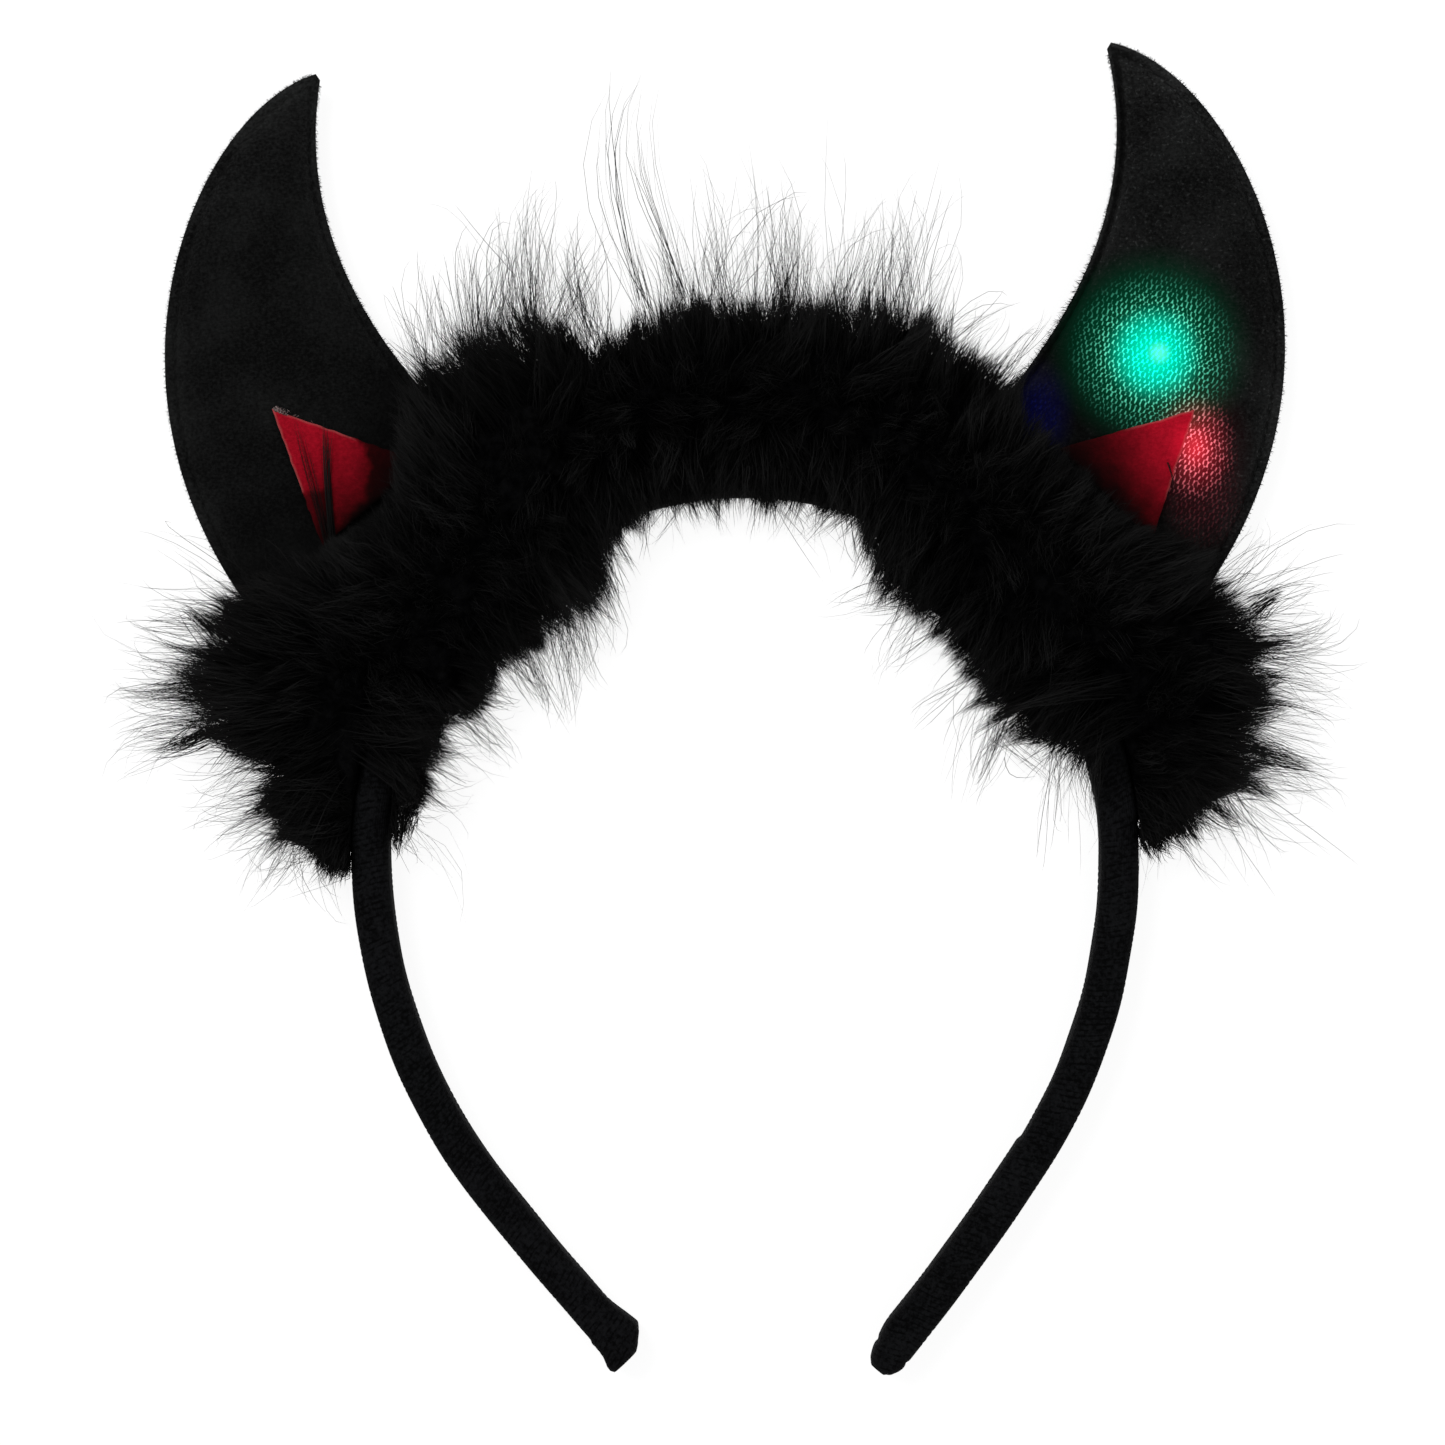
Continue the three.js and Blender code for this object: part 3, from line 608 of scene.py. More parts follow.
def patch_painted_shade(nodes):
    """Share of light that the painted shade of the boa leaves on the patch without a lamp: less past an arc
    near its inner corner, and at its lower corner.
    """
    x, y, _ = nodes.axes
    uneven = nodes.noise(3.0).ease(0.25, 0.75, -0.7 * MM, 0.7 * MM)
    arc = nodes.reach((-72, 69 + CROWN_MIDDLE_Y)) + uneven
    inner = arc.ease_mm(8.5, 10.2) * x.ease_mm(-70, -66)
    low = (y + uneven).ease_mm(65 + CROWN_MIDDLE_Y, 66.8 + CROWN_MIDDLE_Y, 0.8, 0.0)
    low = low * x.ease_mm(-69.9, -68.6, 1.0, 0.0)
    return 1.0 - nodes.math("MAXIMUM", inner, low) * 0.86


def patch_material(name, lit):
    """Red felt with painted shade of the boa over it and pale cut edges; the lit patch also gets the red
    lamp's light.
    """
    bright, start, stop = PATCH_TONES[name]
    nodes, colour = felt_nodes(f"{name}_felt", PATCH_COLOURS, grain=0.6, blotch=0.25)
    # More painted shade of the boa: towards the inner side of the lit patch, or past an arc and at the lower
    # corner of the other
    fold = nodes.axes[0].ease_mm(63, 76, 0.3, 1.0) if lit else patch_painted_shade(nodes)
    shade = from_boa(nodes, uneven=1.2).ease_mm(start, stop, 0.02, bright) * fold
    edge = nodes.spot(EDGE_MAP)[0].ease(0.0, 0.05, 1.0, 0.0) * shade.ease(0.25, 0.5)
    nodes.set("Base Color", nodes.mix(edge * 0.25, nodes.scaled(colour, shade), PATCH_EDGE))
    if lit:
        far = nodes.reach(LAMPS["led_red"][0])
        nodes.light(PATCH_GLOW, far.ease_mm(0.0, 6.0, 0.36, 0.0) + far.ease_mm(0.0, 14.0, 0.05, 0.0))
    return nodes.material


def band_material():
    """Ribbed cloth: broken ribs along the band, painted shade in broken stretches of the grooves between
    them, and fine cross threads within each rib.
    """
    nodes = Nodes("band_cloth", roughness=0.9, specular=0.04)
    length, around = nodes.spot(CLOTH_MAP)
    thread = nodes.math("SINE", around * (2 * math.pi / THREAD_PITCH))
    fibre = nodes.noise(0.7, 3.0, 0.65)
    rib = nodes.math("ABSOLUTE", nodes.math("SINE", length * (math.pi / RIB_PITCH)))
    # Painted shade in the grooves between ribs, in broken stretches
    painted_rib_shade = rib.ease(0.1, 0.75, 1.0, 0.0) * nodes.noise(1.7).ease(0.38, 0.58)
    tone = fibre.ease(0.3, 0.7, 0.05, 1.1) - painted_rib_shade * 0.7 + nodes.noise(6.0).ease(0.3, 0.75, -0.2, 0.2)
    nodes.set("Base Color", nodes.mix(tone, *BAND_COLOURS))
    nodes.bump(thread * 0.35 + fibre, strength=0.5, depth=0.12)
    return nodes.material


def fluff_material(name, colours, roughness):
    """Down: each strand has its own tone, and lightens from its root to its tip."""
    nodes = Nodes(name, roughness, specular=0.08)
    tone, along = nodes.spot(BAKE_MAP)
    nodes.set("Base Color", nodes.mix(along.ease(0.1, 1.0, 0.12, 1.0) * tone, *colours))
    return nodes.material


def core_material():
    nodes = Nodes("down_core", roughness=1.0, specular=0.0)
    tuft = nodes.noise(2.2, 4.0, 0.65)
    nodes.set("Base Color", nodes.mix(tuft.ease(0.35, 0.7), *CORE_COLOURS))
    nodes.bump(tuft, strength=0.8, depth=1.2)
    return nodes.material


def lamp_material(name, colour):
    """A lit lamp with a faint mould grain."""
    nodes = Nodes(name, roughness=0.25, specular=0.5)
    shade = nodes.scaled(colour, nodes.noise(0.8).ease(0.3, 0.7, 0.8, 1.0))
    nodes.set("Base Color", shade)
    nodes.light(shade, LAMP_POWER)
    return nodes.material


# Band


def band_line(lengths):
    """Plan points and outward directions of the band's centre line, by length from the top of the crown."""
    side = np.where(lengths < 0, -1.0, 1.0)
    left = np.abs(lengths)
    x = np.zeros_like(left)
    y = np.full_like(left, CROWN_RADIUS)
    heading = np.zeros_like(left)
    for radius, turn_left, turn_right in BAND_ARCS:
        most = np.radians(np.where(side < 0, turn_left, turn_right))
        turn = np.minimum(left / radius, most)
        x += radius * (np.sin(heading + turn) - np.sin(heading))
        y += radius * (np.cos(heading + turn) - np.cos(heading))
        heading += turn
        left = left - turn * radius
    points = np.stack([side * x, y], -1)
    return points, np.stack([side * np.sin(heading), np.cos(heading)], -1)


def curved(rows, column, spots):
    """Values at spots on a smooth curve through a column of rows, without overshoot."""
    at, values = rows[:, 0], rows[:, column]
    slope = np.diff(values) / np.diff(at)
    lean = np.concatenate([slope[:1], np.zeros(len(at) - 2), [0]])
    same = slope[:-1] * slope[1:] > 0
    lean[1:-1][same] = 2 / (1 / slope[:-1][same] + 1 / slope[1:][same])
    spots = np.clip(spots, at[0], at[-1])
    k = np.clip(np.searchsorted(at, spots) - 1, 0, len(at) - 2)
    span = at[k + 1] - at[k]
    t = (spots - at[k]) / span
    start = values[k] * (1 + 2 * t) * (1 - t) ** 2 + lean[k] * span * t * (1 - t) ** 2
    return start + values[k + 1] * t * t * (3 - 2 * t) + lean[k + 1] * span * t * t * (t - 1)


def band_outlines(inner, outer, bottom, top, corner):
    """Rounded sections and their outward normals, x across the band and y up."""
    spots, normals = [], []
    corners = (
        (outer - corner, bottom + corner, -90),
        (outer - corner, top - corner, 0),
        (corner - inner, top - corner, 90),
        (corner - inner, bottom + corner, 180),
    )
    for x, y, start in corners:
        for step in np.linspace(0, 90, BAND_CORNER_POINTS):
            angle = math.radians(start + step)
            normal = np.array([math.cos(angle), math.sin(angle)])
            spots.append(np.stack([x + corner * normal[0], y + corner * normal[1]], -1))
            normals.append(np.broadcast_to(normal, spots[-1].shape))
    points, directions = [], []
    for k, spot in enumerate(spots):
        points.append(spot)
        directions.append(normals[k])
        if k % BAND_CORNER_POINTS == BAND_CORNER_POINTS - 1:
            following = spots[(k + 1) % len(spots)]
            for share in np.linspace(0, 1, BAND_SIDE_POINTS + 2)[1:-1]:
                points.append(spot + (following - spot) * share)
                directions.append(normals[k])
    return np.stack(points, 1), np.stack(directions, 1)


def band_piece(material):
    """The wound band, with its ribs, the step in the winding, the folded end and the rounded end's seam."""
    left, right = (sum(math.radians(arc[k]) * arc[0] for arc in BAND_ARCS) for k in (1, 2))
    count = int((left + right) / RIB_PITCH * RIB_SAMPLES)
    lengths = np.linspace(-left, right, count)
    from_left, from_right = lengths + left, right - lengths
    folded, rounded = np.array(FOLDED_END), np.array(ROUNDED_END)
    inner, outer, draw_in = (
        np.where(lengths < 0, curved(folded, k, from_left), curved(rounded, k, from_right)) for k in (1, 2, 3)
    )
    wound = 1 - smooth(from_right, WRAP_STEP_AT - WRAP_STEP_HALF, WRAP_STEP_AT + WRAP_STEP_HALF)
    inner = inner + WRAP_STEP * wound * smooth(from_right, 3, 9)
    corner = np.minimum(BAND_CORNER, (inner + outer) * BAND_CORNER_SHARE)
    outline, normal = band_outlines(inner, outer, draw_in, BAND_DEPTH - draw_in, corner)
    plan, outward = band_line(lengths)
    middle = outline[count // 2]
    around = np.concatenate([[0], norm(np.diff(middle, axis=0)).cumsum()])
    across, high = outline[..., 0], outline[..., 1]
    along = np.broadcast_to(lengths[:, None], across.shape)
    spots = np.stack([along, across * 2, high * 2], -1)
    shifted = along + RIB_SLANT * across + RIB_WANDER * ripple(spots, length=12, seed=3)
    wave = np.abs(np.sin(np.pi * shifted / RIB_PITCH))
    strength = RIB_HEIGHT * np.clip(0.4 + ripple(spots, length=3.2, seed=4), 0, 1.3)
    rise = strength * (np.sqrt(wave) - 0.8) + 0.06 * ripple(spots, length=11, seed=5)
    fold = from_left[:, None] - 0.55 * across
    rise += FOLD_STEP * (1 - smooth(fold, 4.6, 5.2)) * smooth(high, 5, 9)
    seam = from_right[:, None] - END_SEAM_AT - 0.12 * across ** 2
    rise -= END_SEAM_DEPTH * np.exp(-((seam / 0.4) ** 2))
    outline = outline + normal * rise[..., None]
    outline[..., 1] = np.maximum(outline[..., 1], 0.02)
    rings = np.concatenate([plan[:, None] + outward[:, None] * outline[..., :1], outline[..., 1:]], -1)
    points, faces = tube(rings)
    cloth = np.stack([shifted, np.broadcast_to(around, along.shape)], -1).reshape(-1, 2)
    cloth = np.concatenate([cloth, [[-left, 0], [right, 0]]])
    add_piece("band_wrap", points, faces, {CLOTH_MAP: cloth}, material, "band_cloth", "headband")


# Horns


def bezier(points, share):
    a, b, c, d = (np.asarray(point, float) for point in points)
    t = np.asarray(share, float)[..., None]
    return a * (1 - t) ** 3 + 3 * b * t * (1 - t) ** 2 + 3 * c * t ** 2 * (1 - t) + d * t ** 3


def horn_plan(along, across):
    """Plan points of the right horn, by share of its length and of its width from the inner edge."""
    start = bezier(HORN_INNER_EDGE, along)
    return start + (bezier(HORN_OUTER_EDGE, along) - start) * np.asarray(across, float)[..., None]


def horn_width(along):
    return norm(bezier(HORN_OUTER_EDGE, along) - bezier(HORN_INNER_EDGE, along))


def horn_depth(along, across):
    """Half depth of the plain padded form, as in the part's source."""
    width = horn_width(along)
    seam = np.minimum(SEAM_WIDTH, SEAM_SHARE * width)
    distance = width * np.minimum(across, 1 - np.asarray(across))
    share = np.clip((distance - seam) / np.maximum(width / 2 - seam, 1e-6), 0, 1)
    return SEAM_HALF + np.minimum(PAD_MOST, PAD_SHARE * width) * np.sqrt(share * (2 - share))


def horn_spot(plan):
    """Shares along and across the right horn of plan points, by Newton's steps."""
    along = np.full(plan.shape[:-1], 0.35)
    across = np.full(plan.shape[:-1], 0.5)
    step = 1e-4

    def area(first, second):
        return first[..., 0] * second[..., 1] - first[..., 1] * second[..., 0]

    for _ in range(12):
        here = horn_plan(along, across)
        by_along = (horn_plan(along + step, across) - here) / step
        by_across = (horn_plan(along, across + step) - here) / step
        miss = plan - here
        scale = area(by_along, by_across)
        scale = np.where(np.abs(scale) < 1e-6, 1e-6, scale)
        along = np.clip(along + np.clip(area(miss, by_across) / scale, -0.2, 0.2), -0.3, 1)
        across = np.clip(across + np.clip(area(by_along, miss) / scale, -0.5, 0.5), -1, 2)
    return along, across


def horn_surface(side):
    """Grid of a horn's padded front: plan points, half depths, distances from the edge and stitches."""
    share = np.linspace(0, 1, HORN_STEPS)
    width = horn_width(share)
    scale = np.minimum(1, width / EDGE_FULL_WIDTH)
    edge = np.array(EDGE_STEPS)[None, :] * scale[:, None]
    inside = np.linspace(0, 1, HORN_INNER_POINTS + 2)[1:]
    middle = edge[:, -1:] + (width[:, None] / 2 - edge[:, -1:]) * inside[None, :]
    rising = np.concatenate([edge, middle], 1)
    distance = np.concatenate([rising, width[:, None] - rising[:, -2::-1]], 1)
    across = distance / width[:, None]
    trial = np.linspace(0, 0.4, 161)
    start = np.zeros(across.shape[1])
    for k, value in enumerate(across[0]):
        radius = norm(horn_plan(trial, np.full_like(trial, value)))
        inside_cut = np.nonzero(radius < ROOT_CUT_RADIUS)[0]
        start[k] = trial[inside_cut[-1]] if len(inside_cut) else 0.0
    along = start[None, :] + (1 - start[None, :]) * share[:, None]
    plan = horn_plan(along, across)
    width = horn_width(along)
    near = np.minimum(across, 1 - across) * width
    steps = norm(np.diff(plan, axis=0))
    run = np.concatenate([np.zeros((1, across.shape[1])), steps.cumsum(0)])
    stitch = 0.5 + 0.5 * np.cos(2 * np.pi * run / STITCH_PITCH)
    fit = np.minimum(1, width / EDGE_FULL_WIDTH)
    groove = np.exp(-(((near - 1.85 * fit) / (0.34 * fit + 0.02)) ** 2))
    pucker = np.exp(-(((near - 2.9 * fit) / (1.1 * fit + 0.02)) ** 2))
    edge_round = np.exp(-near / (0.22 * fit + 0.02))
    plan = plan * (side, 1)
    spots = np.concatenate([plan, np.zeros((*plan.shape[:2], 1))], -1)
    depth = horn_depth(along, across) - groove * (0.2 + 0.22 * stitch) * fit
    depth = depth - 0.12 * pucker * stitch * fit - 0.4 * edge_round
    depth = depth + 0.2 * ripple(spots, length=13, seed=21) * smooth(near, 1.5, 5)
    depth = depth + 0.05 * ripple(spots, length=3.2, seed=22) * fit
    return plan, np.maximum(depth, 0.12), near, stitch


def horn_piece(name, side, material):
    """A padded horn with its sewn edge. Returns the grid of its front."""
    plan, depth, near, stitch = horn_surface(side)
    back_depth = np.minimum(depth, HORN_MIDDLE_Z - 0.1)
    front = np.concatenate([plan, (HORN_MIDDLE_Z + depth)[..., None]], -1)
    back = np.concatenate([plan, (HORN_MIDDLE_Z - back_depth)[..., None]], -1)
    points, faces = tube(np.concatenate([front, back[:, ::-1]], 1))
    if side > 0:
        faces = [rows[:, ::-1] for rows in faces]
    edge = np.stack([np.clip(near / EDGE_SPAN, 0, 1), stitch], -1)
    edge = np.concatenate([edge, edge[:, ::-1]], 1).reshape(-1, 2)
    edge = np.concatenate([edge, np.zeros((2, 2))])
    replaced = name.replace("_felt", "")
    piece = add_piece(name, points, faces, {EDGE_MAP: edge}, material, "horn_felt", replaced)
    return front


# Strands


def strand_mesh(lines, widths, facing):
    """Points and faces of ribbons that run to a point along lines."""
    count, steps = lines.shape[:2]
    side = unit(np.cross(unit(np.gradient(lines, axis=1)), facing[:, None, :]))
    half = side[:, :-1] * widths[:, :-1, None] / 2
    pairs = np.stack([lines[:, :-1] + half, lines[:, :-1] - half], 2).reshape(count, -1, 3)
    points = np.concatenate([pairs, lines[:, -1:]], 1)
    per = points.shape[1]
    local = np.array([(2 * k, 2 * k + 1, 2 * k + 3, 2 * k + 2) for k in range(steps - 2)])
    last = np.array([(per - 3, per - 2, per - 1)])
    first = np.arange(count)[:, None, None] * per
    return points.reshape(-1, 3), [(first + local).reshape(-1, 4), (first + last).reshape(-1, 3)]


def strand_piece(name, lines, widths, facing, tones, material, slot, replaced=None):
    """Strands as one piece, with a map of each one's tone and how far along it each point is."""
    points, faces = strand_mesh(lines, widths, facing)
    along = np.concatenate([np.repeat(np.linspace(0, 1, lines.shape[1])[:-1], 2), [1]])
    spots = np.stack([np.repeat(tones, len(along)), np.tile(along, len(tones))], -1)
    maps = {BAKE_MAP: 0.02 + 0.96 * np.clip(spots, 0, 1)}
    add_piece(name, points, faces, maps, material, slot, replaced)


def tapered(rng, widths, taper, count):
    return rng.uniform(*widths, count)[:, None] * np.array(taper)


def nap_piece(name, front, frayed, material, seed):
    """Felt fibres that stand out round a horn's cut edges, longer where the inner edge is frayed."""
    rng = np.random.default_rng(seed)
    rows, columns = front.shape[:2]
    count = NAP_FIBRES
    row = rng.integers(1, rows - 2, count)
    inner = rng.random(count) < 0.55
    from_edge = rng.integers(0, 5, count)
    root = front[row, np.where(inner, from_edge, columns - 1 - from_edge)]
    rim = front[row, np.where(inner, 0, columns - 1)]
    body = front[row, np.where(inner, 6, columns - 7)]
    outward = unit((rim - body) * (1, 1, 0))
    turn = rng.normal(0, 0.7, count)
    aside = np.stack([-outward[:, 1], outward[:, 0], np.zeros(count)], -1)
    run = outward * np.cos(turn)[:, None] + aside * np.sin(turn)[:, None]
    run[:, 2] = rng.uniform(-0.3, 0.3, count)
    worn = frayed * inner * smooth(row / rows, 0.1, 0.25) * (1 - smooth(row / rows, 0.5, 0.7))
    long = (rng.uniform(0.2, 0.75, count) * (1 + 0.9 * worn))[:, None]
    bend = aside * rng.uniform(-0.3, 0.3, (count, 1))
    root[:, 2] -= rng.uniform(0, 2, count) * (root[:, 2] - HORN_MIDDLE_Z)
    lines = np.stack([root, root + run * long * 0.5 + bend * long * 0.6, root + run * long], 1)
    width = tapered(rng, NAP_WIDTHS, NAP_TAPER, count)
    facing = unit(rng.normal(size=(count, 3)))
    strand_piece(name, lines, width, facing, rng.uniform(0.2, 1, count), material, "horn_felt")


# Patches


def patch_piece(name, material):
    """A triangle of felt that lies on its horn, with soft cut edges."""
    side, *corners = PATCHES[name]
    corners = np.array(corners, float)
    steps = PATCH_STEPS
    spots = [(i, j) for i in range(steps + 1) for j in range(steps + 1 - i)]
    number = {spot: k for k, spot in enumerate(spots)}
    share = np.array([(i, j, steps - i - j) for i, j in spots]) / steps
    share = np.minimum(share, PATCH_TRIM)
    share = share / share.sum(-1, keepdims=True)
    plan = share @ corners
    lean = ripple(plan, length=7, seed=41 + side)
    shift = [ripple(plan, length=2.6, seed=first + side) for first in (43, 45)]
    plan = plan + 0.08 * np.stack(shift, -1)
    sides = np.array([np.linalg.norm(corners[k - 2] - corners[k - 1]) for k in range(3)])
    double_area = abs(np.cross(corners[1] - corners[0], corners[2] - corners[0]))
    edge = (share * (double_area / sides)).min(-1)
    low = HORN_MIDDLE_Z + horn_depth(*horn_spot(plan)) + PATCH_GAP
    high = low + PATCH_THICK - 0.28 * np.exp(-edge / 0.3) + 0.08 * lean
    high = high + 0.05 * ripple(plan, length=2.2, seed=47 + side)
    top, bottom = (np.column_stack([plan * (side, 1), level]) for level in (high, low))
    count = len(spots)
    upward = [(number[i, j], number[i + 1, j], number[i, j + 1]) for i, j in spots if i + j < steps]
    upward += [
        (number[i + 1, j], number[i + 1, j + 1], number[i, j + 1]) for i, j in spots if i + j < steps - 1
    ]
    upward = np.array(upward)
    rim = [(k, 0) for k in range(steps)]
    rim += [(steps - k, k) for k in range(steps)]
    rim += [(0, steps - k) for k in range(steps)]
    rim = np.array([number[spot] for spot in rim])
    following = np.roll(rim, -1)
    walls = np.stack([following, rim, rim + count, following + count], -1)
    faces = [upward, upward[:, ::-1] + count, walls]
    first = top[upward[0]]
    if np.cross(first[1] - first[0], first[2] - first[0])[2] < 0:
        faces = [rows[:, ::-1] for rows in faces]
    near = np.stack([np.clip(edge / EDGE_SPAN, 0, 1), np.zeros(count)], -1)
    maps = {EDGE_MAP: np.concatenate([near, near])}
    points = np.concatenate([top, bottom])
    piece = add_piece(f"{name}_felt", points, faces, maps, material, "patch_felt", name)


def fray_piece(material):
    """Pale threads pulled loose at the upper corner of the left patch."""
    rng = np.random.default_rng(57)
    count = FRAY_THREADS
    side, upper, inner, _ = PATCHES["left_patch"]
    ahead = unit(np.array(inner) - upper)
    outward = np.array([ahead[1], -ahead[0]])
    along = 0.5 + rng.exponential(1.3, count)
    root = upper + ahead * along[:, None] + outward * rng.uniform(-0.35, 0.05, count)[:, None]
    turn = rng.normal(0, 0.9, count)[:, None]
    run = (outward * np.cos(turn) + ahead * np.sin(turn)) * rng.uniform(0.3, 0.95, (count, 1))
    curl = (ahead * np.cos(turn) - outward * np.sin(turn)) * rng.uniform(-0.4, 0.4, (count, 1))
    plan = np.stack([root, root + run * 0.4 + curl * 0.7, root + run * 0.8 + curl, root + run], 1)
    level = HORN_MIDDLE_Z + horn_depth(*horn_spot(root)) + PATCH_GAP + PATCH_THICK
    level = level[:, None] + np.array([-0.3, 0.1, 0.2, 0.1]) * rng.uniform(0.3, 1.5, (count, 1))
    lines = np.concatenate([plan * (side, 1), level[..., None]], -1)
    width = tapered(rng, FRAY_WIDTHS, FRAY_TAPER, count)
    facing = np.tile([0.0, 0.0, 1.0], (count, 1))
    strand_piece("left_patch_fray", lines, width, facing, rng.uniform(0.1, 1, count), material, "patch_felt")


# Boa


def rows_at(rows, turn, column):
    return np.interp(turn, rows[:, 0], rows[:, column])


def polar(turn, radius, level):
    """Points from degrees of turn about the crown's middle, radius and height."""
    angle = np.radians(turn)
    radius = np.broadcast_to(radius, angle.shape)
    return np.stack([radius * np.sin(angle), radius * np.cos(angle), level], -1)


def sideways(turn):
    """Directions along the band at turns from the top."""
    angle = np.radians(turn)
    return np.stack([np.cos(angle), -np.sin(angle), np.zeros(len(turn))], -1)


def cover_share(turn):
    """1 where the boa lies over a horn and 0 away from it."""
    away = np.abs(turn)
    start = np.where(turn < 0, *HORN_COVER_FROM)
    past = smooth(away, HORN_COVER_TO - COVER_BLEND, HORN_COVER_TO + COVER_BLEND)
    return smooth(away, start - COVER_BLEND, start + COVER_BLEND) * (1 - past)


def band_gap(points):
    """How far points lie from the crown's stretch of band in plan, below zero over it."""
    return np.abs(norm(points[..., :2]) - CROWN_RADIUS) - BAND_HALF


def turn_of(points):
    return np.degrees(np.arctan2(points[..., 0], points[..., 1]))


def bare_band(turn):
    """How far the band shows in front of the boa at a turn from the top, 0 to 1."""
    return np.maximum(
        smooth(-turn, -BARE_BAND_FROM[0], -BARE_BAND_FULL[0]),
        smooth(turn, BARE_BAND_FROM[1], BARE_BAND_FULL[1]),
    )


def keep_clear(lines):
    """Lifts strand points off the surface below, and off the band, horns and patches."""
    side = np.where(lines[..., 0] < 0, -1.0, 1.0)
    plan = np.stack([lines[..., 0] * side, lines[..., 1]], -1)
    along, across = horn_spot(plan)
    found = norm(horn_plan(along, across) - plan) < 0.3
    inside = found & (across > -0.01) & (across < 1.01) & (along > 0) & (along < 1)
    inside &= norm(plan) > ROOT_CUT_RADIUS
    over_horn = HORN_MIDDLE_Z + horn_depth(np.clip(along, 0, 1), np.clip(across, 0, 1))
    over_horn = over_horn + PATCH_GAP + PATCH_THICK + 0.25
    over_band = np.where(band_gap(lines) < 0.15, BAND_DEPTH + 0.25, 0.3)
    lines[..., 2] = np.maximum(lines[..., 2], np.where(inside, over_horn, over_band))
    return lines


def within_sides(lines):
    """Draws the ends of hairs in before they reach past the widest part of the boa's down."""
    away = np.abs(lines[..., 0])
    past = np.maximum(away - SIDE_FROM, 0)
    drawn = np.minimum(away, SIDE_FROM) + SIDE_ROOM * np.tanh(past / SIDE_ROOM)
    lines[..., 0] = np.sign(lines[..., 0]) * drawn
    return lines


def beside_bare_band(lines, chance):
    """Sets strand points that would hide the bare stretch of band beside it, by each strand's chance."""
    radius = norm(lines[..., :2])
    moved = (bare_band(turn_of(lines)) > chance[:, None]) & (band_gap(lines) < 0.1)
    moved = moved & (lines[..., 1] > -2)
    side = np.where(radius[:, -1] > CROWN_RADIUS, 1.0, -1.0)[:, None]
    clear = CROWN_RADIUS + side * (BAND_HALF + 0.1 + 0.6 * chance[:, None])
    lines[..., :2] *= np.where(moved, clear / radius, 1)[..., None]
    return lines


def to_edge(lines, stand, rng):
    """Draws strands near the edge of the dense fluff in or out to end at it, or to stand out past it."""
    radius = norm(lines[..., :2])
    root, tip = radius[:, 0], radius[:, -1]
    turn = turn_of(lines[:, -1])
    short = np.abs(rng.normal(0, 1.7, len(lines))) - 1.2
    lumps = ripple(turn[:, None], length=2.6, seed=73)
    outward = tip > root
    outer = rows_at(FLUFF_ROWS, turn, 2) + 0.9 * lumps - short
    inner = rows_at(FLUFF_ROWS, turn, 1) - 0.5 * lumps + short
    edge = np.where(outward, outer, inner)
    past = np.where(outward, tip - edge, edge - tip)
    edge = edge + np.where(outward, stand, -1.2 * stand)
    wanted = tip + (edge - tip) * smooth(past, -9, -3)
    run = np.where(outward, 1, -1) * np.maximum(np.abs(tip - root), 2)
    drawn = root[:, None] + (radius - root[:, None]) * np.clip((wanted - root) / run, 0.3, 1.8)[:, None]
    lines[..., :2] *= (drawn / radius)[..., None]
    return lines


def relaxed(points, edges, weight, rounds):
    """Points drawn towards the mean of their neighbours, as far as each point's weight lets them."""
    count = np.bincount(edges.ravel(), minlength=len(points))[:, None]
    for _ in range(rounds):
        total = np.zeros_like(points)
        for axis in range(3):
            for here, there in ((0, 1), (1, 0)):
                total[:, axis] += np.bincount(edges[:, here], points[edges[:, there], axis], len(points))
        points = points + (total / np.maximum(count, 1) - points) * weight[:, None]
    return points


def remeshed(piece):
    """An even mesh over a piece, with its points in millimetres and its edges."""
    weld = piece.modifiers.new("weld", "WELD")
    weld.merge_threshold = 1e-5
    remesh = piece.modifiers.new("remesh", "REMESH")
    remesh.mode = "VOXEL"
    remesh.voxel_size = CORE_VOXEL * MM
    graph = bpy.context.evaluated_depsgraph_get()
    made = bpy.data.meshes.new_from_object(piece.evaluated_get(graph))
    piece.modifiers.clear()
    piece.data = made
    points = np.empty(len(made.vertices) * 3, np.float32)
    made.vertices.foreach_get("co", points)
    edges = np.empty(len(made.edges) * 2, np.int32)
    made.edges.foreach_get("vertices", edges)
    return made, points.reshape(-1, 3) / MM - (0, CROWN_MIDDLE_Y, 0), edges.reshape(-1, 2)


